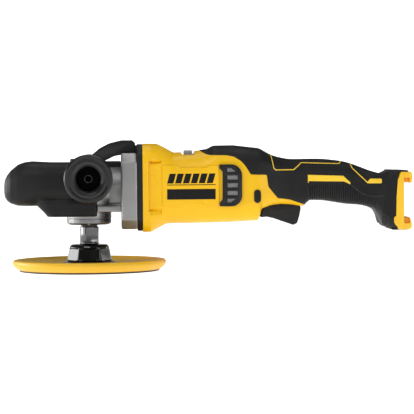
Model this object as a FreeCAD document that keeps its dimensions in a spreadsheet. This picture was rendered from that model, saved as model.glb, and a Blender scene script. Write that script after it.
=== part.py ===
import FreeCAD, Part
import math
import os
import re
import Sketcher

# Cordless rotary polisher, in millimetres.  The origin is the centre of the pad's working face.
# +Z runs up the spindle and +X runs back along the motor to the battery foot; -Y is the left side.

DIMENSIONS = {
    # backing pad and its hub
    "pad_radius": 90, "pad_face_radius": 82, "pad_face_thickness": 2, "pad_rim_height": 9.5,
    "pad_rim_top": 13.5, "pad_dish_height": 9, "pad_recess_floor": 5, "hub_foot_radius": 30,
    "hub_foot_height": 10.6, "hub_top_radius": 22.8, "hub_top": 31, "hub_bore_radius": 7,
    "hub_bore_floor": 13, "hub_flute_radius": 5,
    # spindle and its bearings
    "spindle_radius": 11.1, "spindle_thread_radius": 6.95, "spindle_flats": 17, "flats_low": 34,
    "flats_high": 49, "cap_low": 54.2, "cap_radius": 26, "cap_floor": 4.1, "journal_radius": 7.5,
    "lower_bearing_radius": 17.5, "neck_radius": 9.2, "upper_journal_radius": 4,
    "small_bearing_radius": 11, "small_bearing_width": 7, "upper_bearing_low": 104.5,
    # gear case
    "case_base_low": 69.3, "case_base_high": 76.7, "case_radius": 31, "case_top": 116,
    "case_cavity_radius": 26.5, "case_cavity_high": 103, "case_neck_radius": 28.5,
    "ledge_half_width": 34, "flange_front": 37.7, "flange_rear": 56.3, "flange_half": 42.8,
    "flange_height": 91.9, "flange_screw_reach": 33.8, "handle_height": 107.8,
    "handle_thread_radius": 4, "handle_thread_depth": 15, "handle_boss_radius": 9.5,
    "handle_boss_face": 44, "plate_hole_radius": 15,
    # gears
    "axis_height": 97, "bevel_module": 1.6, "crown_teeth": 30, "pinion_teeth": 15,
    "spur_module": 0.8, "sun_front": 40.2, "sun_teeth": 12, "planet_teeth": 18, "ring_teeth": 48,
    "ring_gear_radius": 23, "ring_gear_front": 38, "ring_gear_length": 14,
    "pinion_bearing_front": 27, "pinion_bearing_radius": 14, "pinion_bearing_width": 8,
    "pinion_shaft_radius": 6, "carrier_front": 36.5, "carrier_thickness": 3,
    "carrier_radius": 17.5, "planet_pin_radius": 2.5, "planet_length": 10,
    # motor
    "baffle_rear": 62.5, "baffle_half_height": 50.2, "baffle_half_width": 43, "baffle_centre": 97.2,
    "motor_bearing_front": 55.5, "motor_shaft_radius": 4, "fan_front": 64.5, "fan_radius": 34,
    "fan_depth": 8, "stator_front": 79, "stator_length": 36, "stator_radius": 26,
    "stator_bore": 16, "rotor_radius": 15.5, "winding_depth": 5, "bracket_front": 122,
    "bracket_depth": 12, "rear_bearing_front": 126,
    # housing
    "wall": 3, "skin": 1.5, "housing_rear": 358.5, "body_half_width": 38,
    "screw_radius": 1.9, "screw_head_radius": 3.4, "boss_radius": 4.2,
    # controls
    "dial_front": 111, "dial_width": 10, "dial_radius": 7.8, "dial_centre": 132.2,
    "trigger_half_width": 10.5, "trigger_pin_radius": 1.6, "trigger_pivot_x": 206,
    "trigger_pivot_z": 80, "lock_x": 195, "lock_z": 85.8, "lock_width": 7.4, "lock_height": 14.9,
    "release_x": -13.7, "release_radius": 8, "release_top": 131, "release_low": 119,
    "release_pin_radius": 1.5, "release_pin_low": 86.8,
    # vents and labels
    "vent_front": 151.3, "vent_rear": 177, "vent_low": 74.6, "vent_high": 123, "vent_proud": 2,
    "vent_pitch": 9, "vent_slot_height": 4.6, "vent_slot_front": 159.4, "vent_slot_rear": 172.9,
    "label_front": 90.5, "label_rear": 146.5, "label_low": 83, "label_high": 95,
    # collars, cover and arch
    "collar_rim_radius": 29.2, "collar_step_radius": 23.7, "collar_recess_radius": 14,
    "collar_face": 62, "collar_rim_depth": 8, "collar_inner_face": 37,
    "arch_half_width": 20, "cover_wall": 4,
    # battery foot
    "receiver_plate": 8, "receiver_rear": 375.5, "receiver_half_width": 37,
}

document = FreeCAD.newDocument("rotary_polisher")
sheet = document.addObject("Spreadsheet::Sheet", "Dims")
for row, (alias, number) in enumerate(DIMENSIONS.items(), start=1):
    sheet.set("A%d" % row, alias.replace("_", " "))
    sheet.set("B%d" % row, str(number))
    sheet.setAlias("B%d" % row, alias)
document.recompute()

ORIGIN = FreeCAD.Vector(0, 0, 0)
UPRIGHT = FreeCAD.Rotation()
ALONG_X = FreeCAD.Rotation(FreeCAD.Vector(0, 1, 0), 90)
TO_LEFT = FreeCAD.Rotation(FreeCAD.Vector(1, 0, 0), 90)
TO_RIGHT = FreeCAD.Rotation(FreeCAD.Vector(1, 0, 0), -90)
DOWN = FreeCAD.Rotation(FreeCAD.Vector(1, 0, 0), 180)
SIDES = (("left", -1), ("right", 1))
PRESSURE_ANGLE = math.radians(25)
nodes = []


# ---------------------------------------------------------------- helpers

def full(text):
    """Write an expression's cell names the way the document wants them."""
    return re.sub(r"[a-z][a-z0-9_]+", lambda m: "Dims." + m.group(0) if m.group(0) in DIMENSIONS
                  else m.group(0), str(text))


def value(text):
    return float(sheet.evalExpression(full(text)))


def count_of(alias):
    return int(DIMENSIONS[alias])


def bind(thing, prop, text):
    thing.setExpression(prop, full(text))


def keep(thing, label):
    """Name a finished sub-part and put it on the list of nodes."""
    thing.Label = label
    nodes.append(thing)
    return thing


def place(thing, spot=("0", "0", "0"), rotation=UPRIGHT):
    thing.Placement = FreeCAD.Placement(ORIGIN, rotation)
    for axis, text in zip("xyz", spot):
        if text != "0":
            bind(thing, "Placement.Base." + axis, text)
    return thing


def new_body(spot=("0", "0", "0"), rotation=UPRIGHT):
    return place(document.addObject("PartDesign::Body", "Body"), spot, rotation)


def new_sketch(body, role):
    sketch = body.newObject("Sketcher::SketchObject", "Sketch")
    plane = [item for item in body.Origin.OriginFeatures if item.Role == role][0]
    sketch.AttachmentSupport = [(plane, "")]
    sketch.MapMode = "FlatFace"
    return sketch


def outline(body, role, points, offset="0"):
    """Closed outline of straight edges whose corners all read the sheet."""
    sketch = new_sketch(body, role)
    if offset != "0":
        bind(sketch, "AttachmentOffset.Base.z", offset)
    corners = [FreeCAD.Vector(value(u), value(v), 0) for u, v in points]
    count = len(corners)
    for index in range(count):
        sketch.addGeometry(Part.LineSegment(corners[index], corners[(index + 1) % count]), False)
    for index in range(count):
        sketch.addConstraint(Sketcher.Constraint("Coincident", index, 2, (index + 1) % count, 1))
    for index, corner in enumerate(points):
        for kind, text in zip(("DistanceX", "DistanceY"), corner):
            number = sketch.addConstraint(
                Sketcher.Constraint(kind, -1, 1, index, 1, value(text)))
            if re.search("[a-z]", str(text)):
                sketch.setExpression("Constraints[%d]" % number, full(text))
    return sketch


def circle(body, role, centre, radius):
    sketch = new_sketch(body, role)
    middle = FreeCAD.Vector(value(centre[0]), value(centre[1]), 0)
    sketch.addGeometry(Part.Circle(middle, FreeCAD.Vector(0, 0, 1), value(radius)), False)
    number = sketch.addConstraint(Sketcher.Constraint("Radius", 0, value(radius)))
    sketch.setExpression("Constraints[%d]" % number, full(radius))
    for kind, text in zip(("DistanceX", "DistanceY"), centre):
        number = sketch.addConstraint(Sketcher.Constraint(kind, -1, 1, 0, 3, value(text)))
        if re.search("[a-z]", str(text)):
            sketch.setExpression("Constraints[%d]" % number, full(text))
    return sketch


def pad(body, sketch, length, both_ways=False, backwards=False):
    feature = body.newObject("PartDesign::Pad", "Pad")
    feature.Profile = sketch
    bind(feature, "Length", length)
    feature.Midplane = both_ways
    feature.Reversed = backwards
    document.recompute()
    return feature


def pocket(body, sketch, length, both_ways=True, backwards=False):
    """Cut away a prism and stop if it took nothing off."""
    before = body.Shape.Volume
    feature = body.newObject("PartDesign::Pocket", "Pocket")
    feature.Profile = sketch
    bind(feature, "Length", length)
    feature.Midplane = both_ways
    feature.Reversed = backwards
    document.recompute()
    if body.Shape.Volume > before - 1e-3:
        raise RuntimeError("pocket in %s cuts nothing" % body.Label)
    return feature


def turned(points, spot=("0", "0", "0"), rotation=UPRIGHT):
    """Solid of revolution about the local Z axis from (radius, height) corners."""
    body = new_body(spot, rotation)
    sketch = outline(body, "XZ_Plane", points)
    turn = body.newObject("PartDesign::Revolution", "Revolution")
    turn.Profile = sketch
    turn.ReferenceAxis = (sketch, ["V_Axis"])
    turn.Angle = 360
    document.recompute()
    return body


def tube(inner, outer, length, spot=("0", "0", "0"), rotation=UPRIGHT):
    return turned([(inner, "0"), (outer, "0"), (outer, length), (inner, length)], spot, rotation)


def cylinder(radius, height, spot=("0", "0", "0"), rotation=UPRIGHT):
    thing = document.addObject("Part::Cylinder", "Cylinder")
    bind(thing, "Radius", radius)
    bind(thing, "Height", height)
    return place(thing, spot, rotation)


def block(size, spot):
    thing = document.addObject("Part::Box", "Block")
    for prop, text in zip(("Length", "Width", "Height"), size):
        bind(thing, prop, text)
    return place(thing, spot)


def fuse(things):
    joined = document.addObject("Part::MultiFuse", "Fuse")
    joined.Shapes = things
    joined.Refine = True
    document.recompute()
    return joined


def cut(base, tools):
    for tool in tools:
        result = document.addObject("Part::Cut", "Cut")
        result.Base = base
        result.Tool = tool
        base = result
    document.recompute()
    return base


def feature(shape, placement=None):
    """Free-form piece whose shape is made from the sheet's sizes by Part's functions."""
    thing = document.addObject("Part::Feature", "Piece")
    thing.Shape = shape
    if placement is not None:
        thing.Placement = placement
    document.recompute()
    return thing


def x_axis_placement(x):
    return FreeCAD.Placement(FreeCAD.Vector(x, 0, value("axis_height")), ALONG_X)


# ---------------------------------------------------------------- rounded lofts

def rounded_section(x, low, high, half_width, radius):
    """Rounded rectangle standing across the X axis."""
    radius = min(radius, half_width - 0.5, (high - low) / 2 - 0.5)
    straight_y = half_width - radius
    centres = [(straight_y, high - radius), (-straight_y, high - radius),
               (-straight_y, low + radius), (straight_y, low + radius)]
    edges = []
    starts = []
    for quarter, (centre_y, centre_z) in enumerate(centres):
        turn = [math.radians(90 * quarter + step) for step in (0, 45, 90)]
        arc = [FreeCAD.Vector(x, centre_y + radius * math.cos(a), centre_z + radius * math.sin(a))
               for a in turn]
        starts.append(arc)
    for quarter, arc in enumerate(starts):
        edges.append(Part.Arc(*arc).toShape())
        edges.append(Part.LineSegment(arc[2], starts[(quarter + 1) % 4][0]).toShape())
    return Part.Wire(edges)


def read_station(stations, x, column):
    """Straight-line reading of one column of a station list at x."""
    for before, after in zip(stations, stations[1:]):
        if before[0] <= x <= after[0]:
            share = (x - before[0]) / (after[0] - before[0])
            return before[column] + share * (after[column] - before[column])
    return stations[0][column] if x < stations[0][0] else stations[-1][column]


def inset_stations(stations, gap):
    """Move every wall of a station list inwards by gap, steep steps included."""
    first, last = stations[0][0] + gap, stations[-1][0] - gap
    xs = sorted({round(min(max(row[0] + shift, first), last), 3)
                 for row in stations for shift in (-gap, gap)})
    inner = []
    for x in xs:
        near = [x - gap, x, x + gap] + [row[0] for row in stations if abs(row[0] - x) < gap]
        low = max(read_station(stations, at, 1) for at in near) + gap
        high = min(read_station(stations, at, 2) for at in near) - gap
        half_width = min(read_station(stations, at, 3) for at in near) - gap
        inner.append((x, low, high, half_width, max(read_station(stations, x, 4) - gap, 1)))
    return inner


def open_ended(stations, front, rear):
    """Run a cavity on past the end of its shell."""
    first, last = stations[0], stations[-1]
    before = [(first[0] - 20,) + first[1:]] if front else []
    after = [(last[0] + 20,) + last[1:]] if rear else []
    return before + stations + after


def loft(stations):
    return Part.makeLoft([rounded_section(*row) for row in stations], True, True)


def prism_across(points, half_width):
    """Side outline in the XZ plane, run across the tool."""
    corners = [FreeCAD.Vector(x, -half_width, z) for x, z in points]
    face = Part.Face(Part.makePolygon(corners + corners[:1]))
    return face.extrude(FreeCAD.Vector(0, 2 * half_width, 0))


def rod(radius, start, end):
    direction = end - start
    return Part.makeCylinder(radius, direction.Length, start, direction)


# ---------------------------------------------------------------- gears

def involute(angle):
    return math.tan(angle) - angle


def flank(teeth, module, addendum, dedendum, backlash, points=4):
    """Radius and half angle of one tooth's flank, from root to tip, on a gear of that size."""
    pitch = teeth * module / 2
    base = pitch * math.cos(PRESSURE_ANGLE)
    root, tip = pitch - dedendum * module, pitch + addendum * module
    start = max(root, base)
    half_at_pitch = math.pi / (2 * teeth) - backlash / (2 * pitch)
    rows = []
    for step in range(points):
        radius = start + (tip - start) * step / (points - 1)
        roll = math.acos(min(base / radius, 1))
        rows.append((radius, half_at_pitch + involute(PRESSURE_ANGLE) - involute(roll)))
    if root < start:
        rows.insert(0, (root, rows[0][1]))
    return rows


def tooth_ring(teeth, rows, phase):
    """Polar points of the whole gear, tooth after tooth, with tooth centres at phase."""
    polar = []
    for tooth in range(teeth):
        middle = phase + 2 * math.pi * tooth / teeth
        polar += [(radius, middle - half) for radius, half in rows]
        polar += [(radius, middle + half) for radius, half in reversed(rows)]
    return polar


def gear_face(teeth, module, phase, addendum=0.95, dedendum=1.25, backlash=0.08):
    rows = flank(teeth, module, addendum, dedendum, backlash)
    polar = tooth_ring(teeth, rows, phase)
    corners = [FreeCAD.Vector(r * math.cos(a), r * math.sin(a), 0) for r, a in polar]
    return Part.Face(Part.makePolygon(corners + corners[:1]))


def bevel_cone(teeth, cone_angle, pitch_radius, near, far, phase):
    """Toothed cone about +Z with its tip at the origin, between two depths."""
    module = 2 * pitch_radius / teeth
    cone_distance = pitch_radius / math.sin(cone_angle)
    equal_teeth = teeth / math.cos(cone_angle)
    tip_distance = cone_distance / math.cos(cone_angle)
    rows = []
    for radius, half in flank(equal_teeth, module, 0.88, 1.12, 0.16):
        across = radius * math.cos(cone_angle)
        depth = tip_distance - radius * math.sin(cone_angle)
        rows.append((across / depth, half / math.cos(cone_angle)))
    polar = tooth_ring(teeth, rows, phase)
    wires = []
    for depth in (near, far):
        corners = [FreeCAD.Vector(s * depth * math.cos(a), s * depth * math.sin(a), depth)
                   for s, a in polar]
        wires.append(Part.makePolygon(corners + corners[:1]))
    return Part.makeLoft(wires, True, True)


def revolved(points):
    """Solid of revolution about Z from (radius, height) corners given as numbers."""
    corners = [FreeCAD.Vector(r, 0, z) for r, z in points]
    face = Part.Face(Part.makePolygon(corners + corners[:1]))
    return face.revolve(ORIGIN, FreeCAD.Vector(0, 0, 1), 360)


# ---------------------------------------------------------------- bearings and screws

def ball_bearing(label, inner, outer, width, spots, rotation):
    """Plain ball bearing: outer race with its balls, and the inner race, at each spot."""
    gap = "(%s - %s)" % (outer, inner)
    middle = "(%s + %s) / 2" % (outer, inner)
    ball = 0.3 * (value(outer) - value(inner))
    land = "0.216 * " + gap
    groove = "0.1 * " + gap
    low, high = "%s / 2 - 0.26 * %s" % (width, gap), "%s / 2 + 0.26 * %s" % (width, gap)
    outer_land, inner_land = "%s + %s" % (middle, land), "%s - %s" % (middle, land)
    inner_profile = [(inner, "0"), (inner_land, "0"), (inner_land, low),
                     (inner_land + " - " + groove, low), (inner_land + " - " + groove, high),
                     (inner_land, high), (inner_land, width), (inner, width)]
    outer_profile = [(outer, "0"), (outer_land, "0"), (outer_land, low),
                     (outer_land + " + " + groove, low), (outer_land + " + " + groove, high),
                     (outer_land, high), (outer_land, width), (outer, width)]
    circle_radius = value(middle)
    count = int(math.pi / math.asin(1.2 * ball / circle_radius))
    inner_races = [turned(inner_profile, spot, rotation) for spot in spots]
    outer_races = [turned(outer_profile, spot, rotation) for spot in spots]
    solids = []
    for race in outer_races:
        solids += race.Shape.Solids
        for index in range(count):
            angle = 2 * math.pi * index / count
            centre = FreeCAD.Vector(circle_radius * math.cos(angle),
                                    circle_radius * math.sin(angle), value(width) / 2)
            solids.append(Part.makeSphere(ball, race.Placement.multVec(centre)))
    keep(feature(Part.makeCompound(solids)), label + "_outer_race")
    if len(inner_races) == 1:
        keep(inner_races[0], label + "_inner_race")
    else:
        races = Part.makeCompound([solid for race in inner_races for solid in race.Shape.Solids])
        keep(feature(races), label + "_inner_races")


def screw(head, direction, shank_length, radius, head_radius, head_length):
    """Cap screw whose head's outer face is at the given point; the shank runs along direction."""
    axis = FreeCAD.Vector(direction)
    top = Part.makeCylinder(head_radius, head_length, head, axis)
    shank = Part.makeCylinder(radius, shank_length, head + axis * head_length, axis)
    socket = Part.makeCylinder(head_radius * 0.5, head_length * 0.5, head, axis)
    return top.fuse(shank).cut(socket).removeSplitter()


# ---------------------------------------------------------------- pad and spindle

def backing_pad():
    keep(turned([("0", "0"), ("pad_face_radius", "0"), ("pad_face_radius", "pad_face_thickness"),
                 ("0", "pad_face_thickness")]), "hook_face_disc")
    return keep(turned([
        ("0", "pad_face_thickness"), ("pad_face_radius + 1", "pad_face_thickness"),
        ("pad_radius - 2.6", "pad_rim_height - 4"), ("pad_radius - 0.6", "pad_rim_height - 2"),
        ("pad_radius", "pad_rim_height"), ("pad_radius - 0.7", "pad_rim_height + 2.2"),
        ("pad_radius - 3", "pad_rim_top - 0.3"), ("pad_radius - 6", "pad_rim_top"),
        ("pad_radius - 12", "pad_rim_top - 1.5"), ("hub_foot_radius + 14", "pad_dish_height + 0.4"),
        ("hub_foot_radius + 0.2", "pad_dish_height"), ("hub_foot_radius + 0.2", "pad_recess_floor"),
        ("0", "pad_recess_floor")]), "backing_pad")


def pad_hub():
    """Threaded hub with eight flutes between its ribs."""
    body = turned([
        ("0", "pad_recess_floor"), ("hub_foot_radius", "pad_recess_floor"),
        ("hub_foot_radius", "hub_foot_height"), ("hub_foot_radius - 3.5", "hub_foot_height + 2"),
        ("hub_top_radius + 1", "hub_top - 4"), ("hub_top_radius", "hub_top - 1.5"),
        ("hub_top_radius - 2", "hub_top"), ("hub_bore_radius", "hub_top"),
        ("hub_bore_radius", "hub_bore_floor"), ("0", "hub_bore_floor")])
    flute = circle(body, "XY_Plane", ("hub_foot_radius + 0.6", "0"), "hub_flute_radius")
    bind(flute, "AttachmentOffset.Base.z", "hub_foot_height + 2.5")
    first = pocket(body, flute, "hub_top - hub_foot_height - 8", both_ways=False, backwards=True)
    pattern = body.newObject("PartDesign::PolarPattern", "PolarPattern")
    pattern.Originals = [first]
    pattern.Axis = ([item for item in body.Origin.OriginFeatures if item.Role == "Z_Axis"][0], [""])
    pattern.Angle = 360
    pattern.Occurrences = 8
    body.Tip = pattern
    document.recompute()
    return keep(body, "pad_hub")


def spindle():
    """Output spindle: threaded nose, flats for a wrench, journals and the gear seat."""
    body = turned([
        ("0", "hub_bore_floor + 1"), ("spindle_thread_radius", "hub_bore_floor + 1"),
        ("spindle_thread_radius", "hub_top"), ("spindle_radius", "hub_top"),
        ("spindle_radius", "cap_low - 0.4"), ("neck_radius", "cap_low - 0.4"),
        ("neck_radius", "cap_low + cap_floor - 0.1"), ("journal_radius", "cap_low + cap_floor - 0.1"),
        ("journal_radius", "axis_height - 7.5"), ("journal_radius - 2.5", "axis_height - 7.5"),
        ("journal_radius - 2.5", "upper_bearing_low"), ("upper_journal_radius", "upper_bearing_low"),
        ("upper_journal_radius", "upper_bearing_low + small_bearing_width"),
        ("0", "upper_bearing_low + small_bearing_width")])
    for side in ("1", "-1"):
        near, far = "%s * spindle_flats / 2" % side, "%s * (spindle_radius + 2)" % side
        window = outline(body, "XZ_Plane", [(near, "flats_low"), (far, "flats_low"),
                                            (far, "flats_high"), (near, "flats_high")])
        pocket(body, window, "3 * spindle_radius")
    return keep(body, "spindle")


def bearing_cap():
    body = turned([
        ("neck_radius + 0.6", "cap_low"), ("cap_radius - 1.5", "cap_low"),
        ("cap_radius", "cap_low + 1.5"), ("cap_radius", "case_base_low"),
        ("lower_bearing_radius", "case_base_low"), ("lower_bearing_radius", "cap_low + cap_floor"),
        ("neck_radius + 0.6", "cap_low + cap_floor")])
    hole = circle(body, "XY_Plane", ("(cap_radius + lower_bearing_radius) / 2", "0"), "1.6")
    first = pocket(body, hole, "4 * case_base_low")
    head = circle(body, "XY_Plane", ("(cap_radius + lower_bearing_radius) / 2", "0"), "3")
    bind(head, "AttachmentOffset.Base.z", "cap_low")
    second = pocket(body, head, "6")
    pattern = body.newObject("PartDesign::PolarPattern", "PolarPattern")
    pattern.Originals = [first, second]
    pattern.Axis = ([item for item in body.Origin.OriginFeatures if item.Role == "Z_Axis"][0], [""])
    pattern.Angle = 360
    pattern.Occurrences = 4
    body.Tip = pattern
    document.recompute()
    return keep(body, "bearing_cap")


def bearing_cap_screws():
    reach = (value("cap_radius") + value("lower_bearing_radius")) / 2
    screws = [screw(FreeCAD.Vector(reach * math.cos(a), reach * math.sin(a), value("cap_low + 0.4")),
                    (0, 0, 1), 18, 1.6, 2.9, 2.6) for a in (0, math.pi / 2, math.pi, -math.pi / 2)]
    return keep(feature(Part.makeCompound(screws)), "bearing_cap_screws")


# ---------------------------------------------------------------- gear train

def crown_gear():
    """Bevel gear on the spindle, with four holes in its web for the spindle lock."""
    pitch = value("bevel_module * crown_teeth") / 2
    pinion = value("bevel_module * pinion_teeth") / 2
    cone = math.atan2(pitch, pinion)
    teeth = bevel_cone(count_of("crown_teeth"), cone, pitch, 7, 19, 0)
    tip, foot = value("axis_height"), 78.5
    bore = value("journal_radius")
    blank = revolved([(bore, tip - foot), (13, tip - foot), (22, tip - foot - 1.5),
                      (22.8, tip - foot - 4), (24.6, 10.75), (17.3, 7.5), (16.3, 9.6),
                      (15.9, 11), (12, 11), (12, 9.5), (bore, 9.5)])
    shape = blank.common(teeth)
    reach = -value("release_x")
    for quarter in range(4):
        angle = math.radians(90 * quarter)
        centre = FreeCAD.Vector(reach * math.cos(angle), reach * math.sin(angle), 10)
        shape = shape.cut(Part.makeCylinder(value("release_pin_radius") + 0.2, 7.5, centre))
    placement = FreeCAD.Placement(FreeCAD.Vector(0, 0, tip), DOWN)
    return keep(feature(shape, placement), "crown_gear")


def bevel_pinion():
    """Pinion with its shaft, which runs back through its bearing into the planet carrier."""
    pitch = value("bevel_module * pinion_teeth") / 2
    crown = value("bevel_module * crown_teeth") / 2
    cone = math.atan2(pitch, crown)
    half_tooth = math.pi / count_of("pinion_teeth")
    teeth = bevel_cone(count_of("pinion_teeth"), cone, pitch, 15, 26.4, half_tooth)
    blank = revolved([(0, 16.4), (9.4, 16.4), (13.3, 23.4), (10.8, 25.4), (0, 25.4)])
    shaft_radius = value("pinion_shaft_radius")
    shoulder = Part.makeCylinder(8, value("pinion_bearing_front") - 25.4, FreeCAD.Vector(0, 0, 25.4))
    shaft_end = value("carrier_front + carrier_thickness")
    shaft = Part.makeCylinder(shaft_radius, shaft_end - 25.4, FreeCAD.Vector(0, 0, 25.4))
    shape = blank.common(teeth).fuse(shoulder).fuse(shaft).removeSplitter()
    return keep(feature(shape, x_axis_placement(0)), "bevel_pinion")


def planet_centres():
    reach = value("spur_module * (sun_teeth + planet_teeth) / 2")
    return [(reach, 2 * math.pi * index / 3) for index in range(3)]


def planet_carrier():
    """Disc with three planet pins."""
    body = tube("pinion_shaft_radius", "carrier_radius", "carrier_thickness",
                ("carrier_front", "0", "axis_height"), ALONG_X)
    pins = []
    for reach, angle in planet_centres():
        spot = FreeCAD.Vector(reach * math.cos(angle), reach * math.sin(angle), 0)
        pins.append(Part.makeCylinder(value("planet_pin_radius"), 13.8, spot))
    shape = body.Shape
    for pin in pins:
        pin.Placement = body.Placement.multiply(pin.Placement)
        shape = shape.fuse(pin)
    return keep(feature(shape.removeSplitter()), "planet_carrier")


def planet_gears():
    teeth, sun = count_of("planet_teeth"), count_of("sun_teeth")
    front = value("carrier_front + carrier_thickness") + 0.4
    for index, (reach, angle) in enumerate(planet_centres(), start=1):
        phase = angle + math.pi + math.pi / teeth + angle * sun / teeth
        face = gear_face(teeth, value("spur_module"), phase)
        solid = face.extrude(FreeCAD.Vector(0, 0, value("planet_length")))
        solid = solid.cut(Part.makeCylinder(value("planet_pin_radius") + 0.05, 20))
        centre = FreeCAD.Vector(reach * math.cos(angle), reach * math.sin(angle), 0)
        placement = x_axis_placement(front).multiply(FreeCAD.Placement(centre, UPRIGHT))
        keep(feature(solid, placement), "planet_gear_%d" % index)


def ring_gear():
    """Fixed internal gear; its tooth spaces are the teeth of an outside gear of the same size."""
    teeth = count_of("ring_teeth")
    spaces = gear_face(teeth, value("spur_module"), math.pi / teeth,
                       addendum=1.25, dedendum=0.9, backlash=-0.08)
    length = value("ring_gear_length")
    disc = Part.makeCylinder(value("ring_gear_radius"), length)
    shape = disc.cut(spaces.extrude(FreeCAD.Vector(0, 0, length)))
    return keep(feature(shape, x_axis_placement(value("ring_gear_front"))), "ring_gear")


def motor_shaft():
    """Motor shaft with the sun gear cut on its front end."""
    face = gear_face(count_of("sun_teeth"), value("spur_module"), 0)
    sun_length = value("motor_bearing_front - sun_front - 1")
    shape = face.extrude(FreeCAD.Vector(0, 0, sun_length))
    shaft_end = value("rear_bearing_front + small_bearing_width")
    shaft = Part.makeCylinder(value("motor_shaft_radius"), shaft_end - value("sun_front") - sun_length,
                              FreeCAD.Vector(0, 0, sun_length))
    return keep(feature(shape.fuse(shaft), x_axis_placement(value("sun_front"))), "motor_shaft")


# ---------------------------------------------------------------- gear case

def flange_outline(half, centre, corner):
    """Square with cut corners, as (y, z) expressions."""
    low, high = "%s - %s" % (centre, half), "%s + %s" % (centre, half)
    near, far = "-1 * " + half, half
    return [("%s + %s" % (near, corner), low), ("%s - %s" % (far, corner), low),
            (far, "%s + %s" % (low, corner)), (far, "%s - %s" % (high, corner)),
            ("%s - %s" % (far, corner), high), ("%s + %s" % (near, corner), high),
            (near, "%s - %s" % (high, corner)), (near, "%s + %s" % (low, corner))]


def flange_screw_spots():
    reach = value("flange_screw_reach")
    return [(side * reach, value("flange_height") + rise * reach)
            for side in (-1, 1) for rise in (-1, 1)]


def gear_case():
    """Cast case: upright head, level neck, rear flange, base plate and side bosses."""
    head = cylinder("case_radius", "case_top - case_base_low", ("0", "0", "case_base_low"))
    neck = cylinder("case_neck_radius", "flange_front + 1", ("0", "0", "axis_height + 1"), ALONG_X)
    ledge = block(("flange_front + 1 - 10", "2 * ledge_half_width", "case_base_high - case_base_low"),
                  ("10", "-1 * ledge_half_width", "case_base_low"))
    flange = new_body()
    square = outline(flange, "YZ_Plane", flange_outline("flange_half", "flange_height", "11"))
    bind(square, "AttachmentOffset.Base.z", "flange_front")
    plate = pad(flange, square, "flange_rear - flange_front")
    edges = ["Edge%d" % number for number, edge in enumerate(flange.Shape.Edges, start=1)
             if abs(edge.BoundBox.XMax - value("flange_front")) < 0.01]
    chamfer = flange.newObject("PartDesign::Chamfer", "Chamfer")
    chamfer.Base = (plate, edges)
    chamfer.Size = 3
    document.recompute()
    bosses = [cylinder("handle_boss_radius", "handle_boss_face", ("0", "0", "handle_height"), turn)
              for turn in (TO_LEFT, TO_RIGHT)]
    outside = fuse([head, neck, ledge, flange] + bosses)
    cavity = cylinder("case_cavity_radius", "case_cavity_high - case_base_high",
                      ("0", "0", "case_base_high"))
    gear_bore = cylinder("ring_gear_radius", "30", ("ring_gear_front - 1.8", "0", "axis_height"),
                         ALONG_X)
    bearing_bore = cylinder("pinion_bearing_radius", "12",
                            ("pinion_bearing_front", "0", "axis_height"), ALONG_X)
    pinion_bore = cylinder("13.6", "20", ("10", "0", "axis_height"), ALONG_X)
    plate_hole = cylinder("plate_hole_radius", "10", ("0", "0", "case_base_low - 1"))
    upper_seat = cylinder("small_bearing_radius", "small_bearing_width + upper_bearing_low - 95",
                          ("0", "0", "95"))
    release_bore = cylinder("release_pin_radius + 0.05", "60", ("release_x", "0", "80"))
    spring_seat = cylinder("4.6", "20", ("release_x", "0", "case_top - 4"))
    tools = [cavity, gear_bore, bearing_bore, pinion_bore, plate_hole, upper_seat, release_bore,
             spring_seat]
    for turn, start in ((TO_LEFT, "-1"), (TO_RIGHT, "1")):
        tools.append(cylinder("handle_thread_radius", "handle_thread_depth + 5",
                              ("0", start + " * (handle_boss_face - handle_thread_depth)",
                               "handle_height"), turn))
    for y, z in flange_screw_spots():
        tools.append(cylinder("2.1", "40", ("30", str(y), str(z)), ALONG_X))
        tools.append(cylinder("5.2", "flange_front + 6 - 20", ("20", str(y), str(z)), ALONG_X))
    reach = "(cap_radius + lower_bearing_radius) / 2"
    for across, along in ((reach, "0"), ("-1 * " + reach, "0"), ("0", reach), ("0", "-1 * " + reach)):
        tools.append(cylinder("1.6", "7", (across, along, "case_base_low - 1")))
    return keep(cut(outside, tools), "gear_case")


def flange_screws():
    screws = [screw(FreeCAD.Vector(value("flange_front") + 1.2, y, z), (1, 0, 0), 30, 2.05, 4, 4.8)
              for y, z in flange_screw_spots()]
    return keep(feature(Part.makeCompound(screws)), "flange_screws")


def baffle_ring():
    """Plate between gear case and housing that seats the front motor bearing."""
    body = new_body()
    square = outline(body, "YZ_Plane", flange_outline("baffle_half_height", "baffle_centre", "15"))
    bind(square, "AttachmentOffset.Base.z", "flange_rear")
    pad(body, square, "baffle_rear - flange_rear")
    spigot = cylinder("14", "baffle_rear - 53", ("53", "0", "axis_height"), ALONG_X)
    sides = []
    for _, side in SIDES:
        sides.append(block(("20", "20", "200"), ("50", "%d * (baffle_half_width + 10) - 10" % side,
                                                 "0")))
    bore = cylinder("small_bearing_radius", "20", ("motor_bearing_front", "0", "axis_height"),
                    ALONG_X)
    relief = cylinder("6.5", "20", ("50", "0", "axis_height"), ALONG_X)
    tools = sides + [bore, relief]
    for y, z in flange_screw_spots():
        tools.append(cylinder("2.1", "40", ("30", str(y), str(z)), ALONG_X))
    return keep(cut(fuse([body, spigot]), tools), "baffle_ring")


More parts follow.
